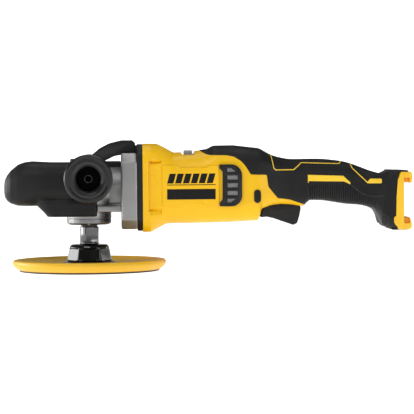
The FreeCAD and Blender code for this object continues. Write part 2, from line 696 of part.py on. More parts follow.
def spindle_release():
    """Sprung button on the head; its pin drops into the crown gear's web to hold the spindle."""
    spot = ("release_x", "0", "0")
    keep(turned([("release_pin_radius", "release_low"), ("release_radius - 2", "release_low"),
                 ("release_radius - 2", "release_low + 3.5"), ("release_radius", "release_low + 3.5"),
                 ("release_radius", "release_top - 1.5"), ("release_radius - 1.5", "release_top"),
                 ("0", "release_top"), ("0", "release_low + 6"),
                 ("release_pin_radius", "release_low + 6")], spot), "spindle_release_button")
    keep(cylinder("release_pin_radius", "release_low + 6 - release_pin_low",
                  ("release_x", "0", "release_pin_low")), "spindle_release_pin")
    low, high, wire = value("case_top") - 3.7, value("release_low") - 0.3, 0.3
    helix = Part.makeHelix((high - low - 2 * wire) / 4, high - low - 2 * wire, 2.8)
    section = Part.Wire(Part.Circle(FreeCAD.Vector(2.8, 0, 0), FreeCAD.Vector(0, 1, 0), wire).toShape())
    spring = Part.Wire(helix).makePipeShell([section], True, True)
    placement = FreeCAD.Placement(FreeCAD.Vector(value("release_x"), 0, low + wire), UPRIGHT)
    keep(feature(spring, placement), "spindle_release_spring")


# ---------------------------------------------------------------- rubber cover, collars and arch

COVER_STATIONS = [  # x, underside, top, half width, corner radius
    (-98, 89, 104, 16, 7), (-95.5, 84, 110, 24, 12), (-90, 80, 117, 30, 16),
    (-82, 76.8, 125, 34, 19), (-70, 76.5, 128.4, 36, 20), (-50, 77, 127.6, 36, 20),
    (9.7, 77, 127, 36, 18)]
SKIRT_STATIONS = [  # height, front end, half width
    (80, -62, 35.9), (75, -58.5, 35.6), (70, -52, 35), (64, -47.6, 34)]


def skirt():
    """Skirt lip with its long nose towards -X."""
    wires = []
    for height, front, half_width in SKIRT_STATIONS:
        back, radius = 9.7, 14
        corners = [(back - 4, half_width, 4), (front + radius, half_width, radius)]
        points = [FreeCAD.Vector(back, half_width - 4, height)]
        points += [FreeCAD.Vector(x, y, height) for x, y, _ in corners]
        edge = half_width - radius
        points += [FreeCAD.Vector(front + 4, edge + 4, height), FreeCAD.Vector(front, edge, height)]
        points += [FreeCAD.Vector(p.x, -p.y, p.z) for p in reversed(points)]
        wires.append(Part.makePolygon(points + points[:1]))
    return Part.makeLoft(wires, True, True)


def case_envelope(gap):
    """Room for the gear case inside the cover."""
    head = Part.makeCylinder(value("case_radius") + gap, value("case_top") + gap - 50,
                             FreeCAD.Vector(0, 0, 50))
    neck = Part.makeCylinder(value("case_neck_radius") + gap, 60,
                             FreeCAD.Vector(0, 0, value("axis_height + 1")), FreeCAD.Vector(1, 0, 0))
    bosses = Part.makeCylinder(value("handle_boss_radius") + gap, 120,
                               FreeCAD.Vector(0, -60, value("handle_height")),
                               FreeCAD.Vector(0, 1, 0))
    return head.fuse([neck, bosses])


def gear_case_cover():
    """Rubber cover over the head with the rounded front palm grip and a strip over the neck."""
    nose = loft(COVER_STATIONS)
    strip = Part.makeBox(29.5, 40, 12, FreeCAD.Vector(8, -20, 116))
    shape = nose.fuse([skirt(), strip])
    shape = shape.cut(case_envelope(0))
    ledge = Part.makeBox(40, 2 * value("ledge_half_width"), 20,
                         FreeCAD.Vector(10, -value("ledge_half_width"), 60))
    button_hole = Part.makeCylinder(value("release_radius") + 0.5, 30,
                                    FreeCAD.Vector(value("release_x"), 0, 110))
    shape = shape.cut([ledge, button_hole, core_shape(), below_strip()])
    return keep(feature(shape.removeSplitter()), "gear_case_cover")


def below_strip():
    return Part.makeBox(40, 90, 60, FreeCAD.Vector(9.7, -45, 60))


def core_shape():
    wall = value("cover_wall")
    inner = loft(inset_stations(COVER_STATIONS, wall))
    limit = Part.makeBox(80, 100, 80, FreeCAD.Vector(-105, -50, 60))
    return inner.common(limit).cut(case_envelope(0))


def palm_grip_core():
    """Stiff insert that gives the rubber nose its shape, cored out from the head side."""
    pocket_box = Part.makeBox(54, 44, 26, FreeCAD.Vector(-84, -22, 88))
    return keep(feature(core_shape().cut(pocket_box)), "palm_grip_core")


def handle_collars():
    """Round collars at the side handle threads."""
    for name, side in SIDES:
        turn = TO_LEFT if side < 0 else TO_RIGHT
        rim = "collar_face - collar_rim_depth"
        collar = turned([
            ("handle_boss_radius", "collar_inner_face"), ("collar_step_radius - 2", "collar_inner_face"),
            ("collar_step_radius - 1", rim + " - 2"), ("collar_rim_radius - 2", rim),
            ("collar_rim_radius", rim + " + 2"), ("collar_rim_radius", "collar_face - 2"),
            ("collar_rim_radius - 2", "collar_face"), ("collar_step_radius + 1", "collar_face"),
            ("collar_step_radius", "collar_face - 1.5"), ("collar_step_radius - 4", "collar_face - 1.5"),
            ("collar_recess_radius", "collar_face - 6"),
            ("collar_recess_radius", "handle_boss_face"), ("handle_boss_radius", "handle_boss_face")],
            ("0", "0", "handle_height"), turn)
        keep(collar, "handle_collar_" + name)


def bumper_arch(cover):
    """Rubber bow from the top of the cover to the top of the gear case flange."""
    bow = new_body()
    side_view = [(-2, 127), (20, 128.4), (30, 133.9), (38, 135), (47, 135.6),
                 (54.4, 135.6), (54.4, 148.5), (50.5, 152), (38, 152), (30, 150.2),
                 (23, 147.9), (14, 143.5), (5, 137), (-2, 131)]
    sketch = outline(bow, "XZ_Plane", [(str(x), str(z)) for x, z in side_view])
    pad(bow, sketch, "2 * arch_half_width", both_ways=True)
    return keep(cut(bow, [cover]), "bumper_arch")


# ---------------------------------------------------------------- motor

def motor():
    tube_spot = ("stator_front", "0", "axis_height")
    keep(tube("stator_bore", "stator_radius", "stator_length", tube_spot, ALONG_X), "stator")
    windings = [tube("stator_bore + 2", "stator_radius - 2", "winding_depth", (x, "0", "axis_height"),
                     ALONG_X) for x in ("stator_front - winding_depth", "stator_front + stator_length")]
    keep(feature(Part.makeCompound([coil.Shape for coil in windings])), "windings")
    keep(tube("motor_shaft_radius", "rotor_radius", "stator_length + 2",
              ("stator_front - 1", "0", "axis_height"), ALONG_X), "rotor")
    motor_shaft()
    fan()
    keep(turned([("small_bearing_radius", "2.5"), ("stator_radius + 4", "2.5"),
                 ("stator_radius + 4", "6"), ("15", "6"), ("15", "bracket_depth"),
                 ("7", "bracket_depth"), ("7", "4 + small_bearing_width"),
                 ("small_bearing_radius", "4 + small_bearing_width")],
                ("bracket_front", "0", "axis_height"), ALONG_X), "motor_end_bracket")


def fan():
    """Centrifugal fan: a disc with radial blades."""
    disc = tube("motor_shaft_radius", "fan_radius", "2", ("fan_front", "0", "axis_height"), ALONG_X)
    hub = tube("motor_shaft_radius", "9", "fan_depth", ("fan_front", "0", "axis_height"), ALONG_X)
    blades = []
    for index in range(12):
        blade = Part.makeBox(value("fan_radius") - 9, 1.4, value("fan_depth") - 1,
                             FreeCAD.Vector(8.5, -0.7, 1))
        blade.rotate(ORIGIN, FreeCAD.Vector(0, 0, 1), 30 * index)
        blade.Placement = x_axis_placement(value("fan_front")).multiply(blade.Placement)
        blades.append(blade)
    shape = disc.Shape.fuse([hub.Shape] + blades).removeSplitter()
    return keep(feature(shape), "fan")


# ---------------------------------------------------------------- housing

HOUSING_STATIONS = [  # x, underside, top, half width, corner radius
    (62.5, 45.4, 148.1, 43, 20), (72, 45.4, 148.1, 43, 20), (84, 51.5, 148.1, 38.2, 22),
    (90, 54.6, 148, 38, 24), (103, 54.8, 139, 38, 26), (129, 55, 139.5, 38, 26), (146, 55.3, 144.3, 38, 24),
    (168, 55.8, 144.7, 38, 24), (197.5, 57.5, 141.6, 38, 22), (200.5, 71, 140.4, 36, 18),
    (212, 73.6, 134.3, 31, 16), (233, 75.8, 128.3, 23.5, 16), (250, 72, 128, 20.5, 15),
    (260, 81.5, 127.7, 20, 14), (300, 76.4, 124.3, 19.5, 14), (327, 72.6, 113.8, 21, 14),
    (337, 57, 111, 31, 14), (346, 48, 110, 36.5, 13), (352, 45, 112, 37.5, 12),
    (358.5, 45.7, 112, 37.5, 12)]
GRIP_OUTLINE = [  # side view of the moulded-on rubber, x and height
    (129, 160), (129, 137), (133, 132.5), (163, 131.5), (176, 124), (186, 109), (207, 108.5),
    (207, 95), (218, 81.5), (234, 80.5), (250, 75.6), (250, 30), (370, 30), (370, 160)]
HOUSING_SCREWS = [  # x and height of each screw that joins the two halves, and its head's depth
    (98, 61, 24), (98, 133, 24), (146, 61.5, 24), (146, 134, 24), (190, 64, 24), (204, 122, 24),
    (262, 91, 12), (312, 92, 12), (348, 56, 24), (348, 102, 24)]


def screw_bosses(limit):
    """Bosses that run from wall to wall around each housing screw."""
    half = value("body_half_width")
    bosses = [rod(value("boss_radius"), FreeCAD.Vector(x, -half, z), FreeCAD.Vector(x, half, z))
              for x, z, _ in HOUSING_SCREWS]
    for y, z in flange_screw_spots():
        bosses.append(Part.makeCylinder(4.6, 15, FreeCAD.Vector(value("baffle_rear"), y, z),
                                        FreeCAD.Vector(1, 0, 0)))
    return [boss.common(limit) for boss in bosses]


def screw_holes():
    holes = []
    for x, z, depth in HOUSING_SCREWS:
        holes.append(rod(value("screw_radius"), FreeCAD.Vector(x, -depth + 3.5, z),
                         FreeCAD.Vector(x, 60, z)))
        holes.append(rod(value("screw_head_radius") + 0.2, FreeCAD.Vector(x, depth, z),
                         FreeCAD.Vector(x, 60, z)))
    for y, z in flange_screw_spots():
        holes.append(Part.makeCylinder(2.1, 40, FreeCAD.Vector(50, y, z), FreeCAD.Vector(1, 0, 0)))
    return holes


def motor_ribs(limit):
    """Ribs inside the shell that hold the stator and the end bracket."""
    ribs = []
    for front, thick, radius in ((83, 3, value("stator_radius")), (106, 3, value("stator_radius")),
                                 (124.5, 3.5, value("stator_radius") + 4)):
        slab = Part.makeBox(thick, 100, 100, FreeCAD.Vector(front, -50, 45))
        bore = Part.makeCylinder(radius, thick, FreeCAD.Vector(front, 0, value("axis_height")),
                                 FreeCAD.Vector(1, 0, 0))
        ribs.append(slab.common(limit).cut(bore))
    return ribs


def pill(x, z, width, height, y_from, y_to):
    """Upright pill-shaped bar across the tool."""
    half = (height - width) / 2
    ends = [rod(width / 2, FreeCAD.Vector(x, y_from, z + rise), FreeCAD.Vector(x, y_to, z + rise))
            for rise in (-half, half)]
    middle = Part.makeBox(width, abs(y_to - y_from), 2 * half,
                          FreeCAD.Vector(x - width / 2, min(y_from, y_to), z - half))
    return ends[0].fuse([ends[1], middle]).removeSplitter()


def housing_openings():
    """Everything cut through the shell: dial, trigger, lock button, vents and battery foot."""
    half = value("trigger_half_width") + 0.7
    trigger_slot = Part.makeBox(50.5, 2 * half, 32, FreeCAD.Vector(199.6, -half, 50))
    dial_slot = Part.makeBox(value("dial_width") + 1, 21, 14,
                             FreeCAD.Vector(value("dial_front") - 0.5, -10.5, 131))
    lock_slot = pill(value("lock_x"), value("lock_z"), value("lock_width") + 0.8,
                     value("lock_height") + 0.8, -45, -25)
    dial_bay = Part.makeBox(10, 8.4, 9, FreeCAD.Vector(value("dial_front + dial_width"), -4.2,
                                                       value("dial_centre") - 4.2))
    tools = [trigger_slot, dial_slot, dial_bay, lock_slot]
    for _, side in SIDES:
        tools.append(Part.makeBox(value("vent_slot_rear - vent_slot_front"), 10, 42,
                                  FreeCAD.Vector(value("vent_slot_front"), side * 38 - 5, 77.8)))
    tools.append(Part.makeBox(20, 44, 34, FreeCAD.Vector(345, -22, 62)))
    return tools


def housing():
    """Two clamshell halves from the collar to the foot, with the rubber moulded over them."""
    outside = loft(HOUSING_STATIONS)
    under_skin = loft(open_ended(inset_stations(HOUSING_STATIONS[4:], value("skin")), False, True))
    cavity = loft(open_ended(inset_stations(HOUSING_STATIONS, value("wall")), True, False))
    backing = loft(open_ended(inset_stations(HOUSING_STATIONS, value("wall") - 1), True, False))
    rubber_zone = prism_across(GRIP_OUTLINE, 60)
    rear_stretch = Part.makeBox(value("housing_rear") - 129, 120, 160, FreeCAD.Vector(129, -60, 20))
    skin = outside.common(rear_stretch).cut(under_skin).common(rubber_zone)
    front_face = Part.makeBox(40, 120, 160, FreeCAD.Vector(value("baffle_rear") - 40, -60, 20))
    inserts = motor_ribs(backing) + screw_bosses(backing) + trigger_pin_ears(backing)
    shell = outside.cut(cavity).fuse(inserts).cut(front_face)
    tools = housing_openings()
    reach = FreeCAD.Vector(0, value("trigger_half_width") + 6, 0)
    pivot = FreeCAD.Vector(value("trigger_pivot_x"), 0, value("trigger_pivot_z"))
    tools.append(rod(value("trigger_pin_radius"), pivot - reach, pivot + reach))
    shell = shell.cut([skin] + screw_holes() + tools)
    skin = skin.cut(tools + screw_holes())
    for name, side in SIDES:
        half = Part.makeBox(400, 60, 200, FreeCAD.Vector(0, -60 if side < 0 else 0, 0))
        keep(feature(largest(shell.common(half))), "housing_" + name)
        keep(feature(skin.common(half)), "grip_overmould_" + name)


def largest(shape):
    return max(shape.Solids, key=lambda solid: solid.Volume)


def housing_screws():
    screws = []
    for x, z, depth in HOUSING_SCREWS:
        screws.append(screw(FreeCAD.Vector(x, depth + 3, z), (0, -1, 0), 2 * depth - 4,
                            value("screw_radius"), value("screw_head_radius"), 3))
    return keep(feature(Part.makeCompound(screws)), "housing_screws")


def vents():
    """D-shaped shields with slots, and the mesh behind them, on both sides."""
    low, high = value("vent_low"), value("vent_high")
    front, rear = value("vent_front"), value("vent_rear")
    middle = (low + high) / 2
    meshes = []
    for name, side in SIDES:
        wall = side * value("body_half_width")
        thick = value("vent_proud")
        points = [(front, low), (front + 12, low), (rear - 5, low + 6), (rear, middle - 10),
                  (rear, middle + 10), (rear - 5, high - 6), (front + 12, high), (front, high)]
        corners = [FreeCAD.Vector(x, min(wall, wall + side * thick), z) for x, z in points]
        plate = Part.Face(Part.makePolygon(corners + corners[:1]))
        plate = plate.extrude(FreeCAD.Vector(0, thick, 0))
        for step in range(-2, 3):
            height = value("vent_slot_height") * (0.75 if abs(step) == 2 else 1)
            plate = plate.cut(Part.makeBox(value("vent_slot_rear - vent_slot_front"), 20, height,
                                           FreeCAD.Vector(value("vent_slot_front"), wall - 10,
                                                          middle + step * value("vent_pitch")
                                                          - height / 2)))
        keep(feature(plate), "vent_shield_" + name)
        meshes.append(Part.makeBox(value("vent_slot_rear - vent_slot_front") - 0.2, 0.8, 41.6,
                                   FreeCAD.Vector(value("vent_slot_front") + 0.1,
                                                  wall - (0.8 if side > 0 else 0), 78)))
    keep(feature(Part.makeCompound(meshes)), "vent_meshes")


def label_plates():
    """Blank plates on the sides of the housing."""
    plates = []
    for _, side in SIDES:
        wall = side * value("body_half_width")
        plates.append(Part.makeBox(value("label_rear - label_front"), 0.5,
                                   value("label_high - label_low"),
                                   FreeCAD.Vector(value("label_front"),
                                                  wall - (0.5 if side < 0 else 0),
                                                  value("label_low"))))
    return keep(feature(Part.makeCompound(plates)), "label_plates")


# ---------------------------------------------------------------- controls

def speed_dial():
    body = turned([("1.5", "0"), ("dial_radius", "0"), ("dial_radius", "dial_width"),
                   ("1.5", "dial_width")],
                  ("dial_front", "0", "dial_centre"), ALONG_X)
    notch = circle(body, "XY_Plane", ("dial_radius + 0.5", "0"), "0.9")
    first = pocket(body, notch, "4 * dial_width")
    pattern = body.newObject("PartDesign::PolarPattern", "PolarPattern")
    pattern.Originals = [first]
    pattern.Axis = ([item for item in body.Origin.OriginFeatures if item.Role == "Z_Axis"][0], [""])
    pattern.Angle = 360
    pattern.Occurrences = 20
    body.Tip = pattern
    document.recompute()
    keep(body, "speed_dial")
    axle = turned([("0", "0"), ("1.45", "0"), ("1.45", "dial_width + 1"),
                   ("3.6", "dial_width + 1"), ("3.6", "dial_width + 8"), ("0", "dial_width + 8")],
                  ("dial_front - 0.5", "0", "dial_centre"), ALONG_X)
    return keep(axle, "speed_potentiometer")


def trigger_parts():
    """Paddle trigger with its pivot pin, return spring and switch."""
    px, pz = value("trigger_pivot_x"), value("trigger_pivot_z")
    profile = [(200.2, 60), (207, 60.6), (215, 58), (222, 54.6), (230, 51.6), (238, 51),
               (243.5, 53.5), (246.6, 60), (247, 69), (243, 76), (225, 79), (212, 82),
               (206, 84.2), (201.6, 83), (200.2, 78)]
    paddle = new_body()
    sketch = outline(paddle, "XZ_Plane", [(str(x), str(z)) for x, z in profile])
    pad(paddle, sketch, "2 * trigger_half_width", both_ways=True)
    hole = cylinder("trigger_pin_radius + 0.05", "60", ("trigger_pivot_x", "-30", "trigger_pivot_z"),
                    TO_RIGHT)
    spring_bay = block(("12", "8", "12"), ("trigger_pivot_x - 6", "-4", "trigger_pivot_z - 5"))
    keep(cut(paddle, [hole, spring_bay]), "trigger")
    keep(cylinder("trigger_pin_radius", "2 * trigger_half_width + 12",
                  ("trigger_pivot_x", "-1 * trigger_half_width - 6", "trigger_pivot_z"), TO_RIGHT),
         "trigger_pin")
    coil = Part.makeCylinder(3, 7, FreeCAD.Vector(px, -3.5, pz), FreeCAD.Vector(0, 1, 0))
    coil = coil.cut(Part.makeCylinder(2, 7, FreeCAD.Vector(px, -3.5, pz), FreeCAD.Vector(0, 1, 0)))
    leg = Part.makeBox(1, 1, 8, FreeCAD.Vector(px + 1.9, -3.5, pz))
    keep(feature(coil.fuse(leg).removeSplitter()), "trigger_spring")
    box = block(("34", "21", "22"), ("212", "-10.5", "87"))
    plunger = cylinder("2.5", "5", ("226", "0", "82.6"))
    return keep(fuse([box, plunger]), "switch_module")


def trigger_pin_ears(limit):
    """Small bosses beside the trigger slot that hold the pivot pin."""
    half = value("trigger_half_width")
    spot = FreeCAD.Vector(value("trigger_pivot_x"), 0, value("trigger_pivot_z"))
    ears = []
    for side in (-1, 1):
        start = spot + FreeCAD.Vector(0, side * (half + 0.7), 0)
        ears.append(rod(5, start, spot + FreeCAD.Vector(0, side * 30, 0)).common(limit))
    return ears


def lock_button():
    width, height = value("lock_width"), value("lock_height")
    wall = value("body_half_width")
    return keep(feature(pill(value("lock_x"), value("lock_z"), width, height, -wall - 0.8,
                             -wall + 12)), "trigger_lock_button")


def electronics():
    board = Part.makeBox(50, 50, 2, FreeCAD.Vector(138, -25, 108))
    parts = [Part.makeBox(12, 10, 3, FreeCAD.Vector(x, y, 110)) for x in (144, 164)
             for y in (-18, 4)]
    parts += [Part.makeCylinder(5, 14, FreeCAD.Vector(182, y, 110)) for y in (-9, 9)]
    return keep(feature(board.fuse(parts).removeSplitter()), "control_board")


# ---------------------------------------------------------------- battery foot

def battery_receiver():
    """Rail plate across the foot with a hook at the top and one at the bottom."""
    rear, front = value("receiver_rear"), value("housing_rear")
    back = front + value("receiver_plate")
    body = new_body()
    side_view = [(front, 45.7), (rear - 2, 46), (rear, 49), (rear, 60), (rear - 3.5, 60),
                 (rear - 3.5, 53), (back, 53), (back, 105), (rear - 3.5, 105), (rear - 3.5, 98),
                 (rear, 98), (rear, 110), (rear - 2, 112.5), (front, 112)]
    sketch = outline(body, "XZ_Plane", [(str(x), str(z)) for x, z in side_view])
    pad(body, sketch, "2 * receiver_half_width", both_ways=True)
    window = block(("20", "44", "34"), ("355", "-22", "62"))
    return keep(cut(body, [window]), "battery_receiver")


def terminals():
    base = block(("14", "43.4", "33.4"), ("350", "-21.7", "62.3"))
    slots = []
    for index in range(5):
        slots.append(block(("10", "1", "18"), ("357", str(-14.5 + 7 * index), "70")))
    keep(cut(base, slots), "terminal_block")
    blades = [Part.makeBox(8.5, 0.8, 17, FreeCAD.Vector(357, -14.4 + 7 * index, 70.5))
              for index in range(5)]
    return keep(feature(Part.makeCompound(blades)), "terminal_blades")


# ---------------------------------------------------------------- assembly

def bearings():
    ball_bearing("lower_spindle_bearing", "journal_radius", "lower_bearing_radius", "10.9",
                 [("0", "0", "cap_low + cap_floor")], UPRIGHT)
    ball_bearing("upper_spindle_bearing", "upper_journal_radius", "small_bearing_radius",
                 "small_bearing_width", [("0", "0", "upper_bearing_low")], UPRIGHT)
    ball_bearing("pinion_bearing", "pinion_shaft_radius", "pinion_bearing_radius",
                 "pinion_bearing_width", [("pinion_bearing_front", "0", "axis_height")], ALONG_X)
    ball_bearing("motor_bearing", "motor_shaft_radius", "small_bearing_radius",
                 "small_bearing_width", [("motor_bearing_front", "0", "axis_height"),
                                         ("rear_bearing_front", "0", "axis_height")], ALONG_X)


def check():
    for thing in document.Objects:
        if "Invalid" in thing.State or "Error" in thing.State:
            raise RuntimeError("%s failed: %s" % (thing.Label, thing.State))
    for node in nodes:
        if node.Shape.isNull() or not node.Shape.isValid() or not node.Shape.Solids:
            raise RuntimeError("%s has no valid solid" % node.Label)


def main():
    backing_pad()
    pad_hub()
    spindle()
    bearing_cap()
    bearing_cap_screws()
    crown_gear()
    bevel_pinion()
    planet_carrier()
    planet_gears()
    ring_gear()
    gear_case()
    flange_screws()
    baffle_ring()
    spindle_release()
    cover = gear_case_cover()
    palm_grip_core()
    handle_collars()
    bumper_arch(cover)
    motor()
    bearings()
    housing()
    housing_screws()
    vents()
    label_plates()
    speed_dial()
    trigger_parts()
    lock_button()
    electronics()
    battery_receiver()
    terminals()
    document.recompute()
    check()
    os.makedirs("parts", exist_ok=True)
    for node in nodes:
        node.Shape.exportStep("parts/%s.step" % node.Label)


main()
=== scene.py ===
import math

import bmesh
import bpy
import numpy as np
from mathutils import Matrix, Vector


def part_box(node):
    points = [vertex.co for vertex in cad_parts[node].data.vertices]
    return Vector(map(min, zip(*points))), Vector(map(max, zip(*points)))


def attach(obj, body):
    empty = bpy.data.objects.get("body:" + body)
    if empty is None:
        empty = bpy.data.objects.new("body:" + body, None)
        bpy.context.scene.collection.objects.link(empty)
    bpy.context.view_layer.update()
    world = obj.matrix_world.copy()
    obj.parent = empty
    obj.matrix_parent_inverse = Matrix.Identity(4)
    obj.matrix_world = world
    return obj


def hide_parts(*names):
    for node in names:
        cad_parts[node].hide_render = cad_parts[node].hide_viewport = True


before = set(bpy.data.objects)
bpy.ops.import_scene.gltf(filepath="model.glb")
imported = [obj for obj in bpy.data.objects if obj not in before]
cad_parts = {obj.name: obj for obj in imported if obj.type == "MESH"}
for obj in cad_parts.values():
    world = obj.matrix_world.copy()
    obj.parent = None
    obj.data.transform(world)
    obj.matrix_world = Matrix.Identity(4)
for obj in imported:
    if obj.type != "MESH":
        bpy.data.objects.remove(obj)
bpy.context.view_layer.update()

# A cordless rotary polisher.  Lengths are in millimetres here and become metres when a mesh is made.
MM = 0.001
LEFT, RIGHT = -1, 1
SIDES = {"left": LEFT, "right": RIGHT}
OUTWARD = {LEFT: "-y", RIGHT: "y"}


def span(node):
    """Lowest and highest corner of a frame node, in millimetres."""
    low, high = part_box(node)
    return np.array(low) / MM, np.array(high) / MM


PAD, HUB, SPINDLE, CAP, CASE, BAFFLE = map(span, (
    "backing_pad", "pad_hub", "spindle", "bearing_cap", "gear_case", "baffle_ring"))
COVER, COLLAR, ARCH, VENT, MESH, LABEL = map(span, (
    "gear_case_cover", "handle_collar_right", "bumper_arch", "vent_shield_right", "vent_meshes",
    "label_plates"))
DIAL, LOCK, TRIGGER, RECEIVER, BUTTON = map(span, (
    "speed_dial", "trigger_lock_button", "trigger", "battery_receiver", "spindle_release_button"))
AXIS_HEIGHT = (span("stator")[0][2] + span("stator")[1][2]) / 2
HANDLE_HEIGHT = (COLLAR[0][2] + COLLAR[1][2]) / 2
# places for turned shapes: round the motor's axis, round the neck and level with the collars
ON_MOTOR = {"centre": (0, 0, AXIS_HEIGHT), "axis": "x"}
ON_NECK = {"centre": (0, 0, AXIS_HEIGHT + 1), "axis": "x"}
AT_HANDLE = {"centre": (0, 0, HANDLE_HEIGHT)}
# head, neck and handle bosses of the gear case, which the cover and the collars fit round
HEAD_RADIUS, HEAD_TOP = 31, 116
NECK_RADIUS = 28.5
BOSS_RADIUS, BOSS_END = 9.5, 44


# ---------------------------------------------------------------- mesh helpers

def placed(name, data):
    """New object in the scene."""
    obj = bpy.data.objects.new(name, data)
    bpy.context.scene.collection.objects.link(obj)
    return obj


def evaluated(obj):
    """Replace an object's mesh by what its modifiers make of it."""
    graph = bpy.context.evaluated_depsgraph_get()
    mesh = bpy.data.meshes.new_from_object(obj.evaluated_get(graph))
    obj.modifiers.clear()
    obj.data = mesh
    return obj


def raw(name, verts, faces):
    """Object from millimetre corners, with its normals made to point outwards."""
    mesh = bpy.data.meshes.new(name)
    mesh.from_pydata((np.asarray(verts, float) * MM).tolist(), [], faces)
    work = bmesh.new()
    work.from_mesh(mesh)
    bmesh.ops.remove_doubles(work, verts=work.verts, dist=1e-6)
    bmesh.ops.dissolve_degenerate(work, edges=work.edges, dist=1e-7)
    bmesh.ops.recalc_face_normals(work, faces=work.faces)
    work.to_mesh(mesh)
    work.free()
    return placed(name, mesh)


def grid_faces(rows, columns, close_rows=False, close_columns=False):
    """Four-cornered faces of a grid of points, closed round on itself where asked."""
    faces = []
    for r in range(rows if close_rows else rows - 1):
        for c in range(columns if close_columns else columns - 1):
            nr, nc = (r + 1) % rows, (c + 1) % columns
            faces.append((r * columns + c, r * columns + nc, nr * columns + nc, nr * columns + c))
    return faces


def tube_solid(name, rings):
    """Closed solid through rings of equal length, with a flat fan at both ends."""
    rings = np.asarray(rings, float)
    count, size = rings.shape[:2]
    faces = grid_faces(count, size, close_columns=True)
    faces.append(tuple(range(size)))
    faces.append(tuple(range((count - 1) * size, count * size)))
    return raw(name, rings.reshape(-1, 3), faces)


def rounded(points, closed=True, steps=4):
    """Outline with rounded corners; a point is (u, v), or (u, v, radius) where it is rounded."""
    result = []
    count = len(points)
    for index, (u, v, *radius) in enumerate(points):
        here = np.array((u, v), float)
        if not any(radius) or (not closed and index in (0, count - 1)):
            result.append(here)
            continue
        before = np.array(points[index - 1][:2], float) - here
        after = np.array(points[(index + 1) % count][:2], float) - here
        one, two = before / np.linalg.norm(before), after / np.linalg.norm(after)
        half = math.acos(np.clip(np.dot(one, two), -1, 1)) / 2
        reach = min(radius[0] / math.tan(half), 0.48 * np.linalg.norm(before),
                    0.48 * np.linalg.norm(after))
        centre = here + (one + two) / np.linalg.norm(one + two) * reach / math.cos(half)
        start, end = here + one * reach - centre, here + two * reach - centre
        sweep = math.atan2(start[0] * end[1] - start[1] * end[0], np.dot(start, end))
        for angle in np.linspace(0, sweep, steps + 1):
            turn = np.array(((math.cos(angle), -math.sin(angle)),
                             (math.sin(angle), math.cos(angle))))
            result.append(centre + turn @ start)
    return np.array(result)


def lathe(name, profile, closed=False, segments=96, centre=(0, 0, 0), axis="z", steps=4):
    """Turned solid from (radius, height) or (radius, height, corner radius) points."""
    outline = rounded(profile, closed, steps)
    angles = np.linspace(0, 2 * math.pi, segments, endpoint=False)
    rings = [circle(radius, height, angles) for radius, height in outline]
    verts = np.concatenate(rings)
    faces = grid_faces(len(rings), segments, close_rows=closed, close_columns=True)
    if axis == "x":
        verts = verts[:, (2, 0, 1)]
    elif axis == "y":
        verts = verts[:, (1, 2, 0)]
    elif axis == "-y":
        verts = verts[:, (0, 2, 1)] * (1, -1, 1)
    return raw(name, verts + np.array(centre), faces)


def circle(radius, height, angles):
    """Points round the Z axis; the radius may be a list, one for each angle."""
    return np.stack((radius * np.cos(angles), radius * np.sin(angles),
                     np.full(len(angles), height)), 1)


def rod(radius, start, end, bore=0, **place):
    """Plain cylinder, or a tube when it has a bore."""
    profile = [(bore, start), (radius, start), (radius, end), (bore, end)]
    return lathe("rod", profile, closed=bore > 0, **place)


def slab(name, outline, low, high, across="y"):
    """Prism from an outline; across is the axis that it runs along."""
    flat = np.asarray(outline, float)
    rings = []
    for level in (low, high):
        third = np.full(len(flat), level)
        order = {"x": (third, flat[:, 0], flat[:, 1]), "y": (flat[:, 0], third, flat[:, 1]),
                 "z": (flat[:, 0], flat[:, 1], third)}[across]
        rings.append(np.stack(order, 1))
    return tube_solid(name, rings)


def box_outline(u0, u1, v0, v1, radius=0, steps=4):
    """Rectangle, with rounded corners if asked."""
    corners = [(u0, v0), (u1, v0), (u1, v1), (u0, v1)]
    return rounded([(*corner, radius) for corner in corners], steps=steps)


def pill_outline(x, z, width, height):
    """Upright rectangle with round ends."""
    half = width / 2
    return box_outline(x - half, x + half, z - height / 2, z + height / 2, half * 0.999)


def box_tool(low, high):
    """Plain block, given by two opposite corners."""
    outline = box_outline(low[0], high[0], low[2], high[2])
    return slab("block", outline, low[1], high[1])


def bevel(obj, width, segments=3, angle=35):
    """Round every edge that is sharper than the angle."""
    modifier = obj.modifiers.new("bevel", "BEVEL")
    modifier.width = width * MM
    modifier.segments = segments
    modifier.limit_method = "ANGLE"
    modifier.angle_limit = math.radians(angle)
    modifier.use_clamp_overlap = True
    return evaluated(obj)


def join(name, parts):
    """One mesh from several closed ones."""
    verts, faces, start = [], [], 0
    for part in parts:
        mesh = part.data
        verts += [tuple(v.co / MM) for v in mesh.vertices]
        faces += [tuple(start + i for i in p.vertices) for p in mesh.polygons]
        start += len(mesh.vertices)
        bpy.data.objects.remove(part)
    mesh = bpy.data.meshes.new(name)
    mesh.from_pydata((np.asarray(verts) * MM).tolist(), [], faces)
    return placed(name, mesh)


def carve(obj, tools):
    """Cut away each tool in turn; the tools are used up."""
    for tool in tools:
        modifier = obj.modifiers.new("cut", "BOOLEAN")
        modifier.operation = "DIFFERENCE"
        modifier.solver = "EXACT"
        modifier.object = tool
        evaluated(obj)
        bpy.data.objects.remove(tool)
    return obj


def melt(obj, voxel, passes, factor=0.5):
    """Fuse overlapping solids into one skin and round every corner a little."""
    modifier = obj.modifiers.new("melt", "REMESH")
    modifier.mode = "VOXEL"
    modifier.voxel_size = voxel * MM
    modifier.use_smooth_shade = True
    evaluated(obj)
    relax = obj.modifiers.new("relax", "SMOOTH")
    relax.factor = factor
    relax.iterations = passes
    return evaluated(obj)


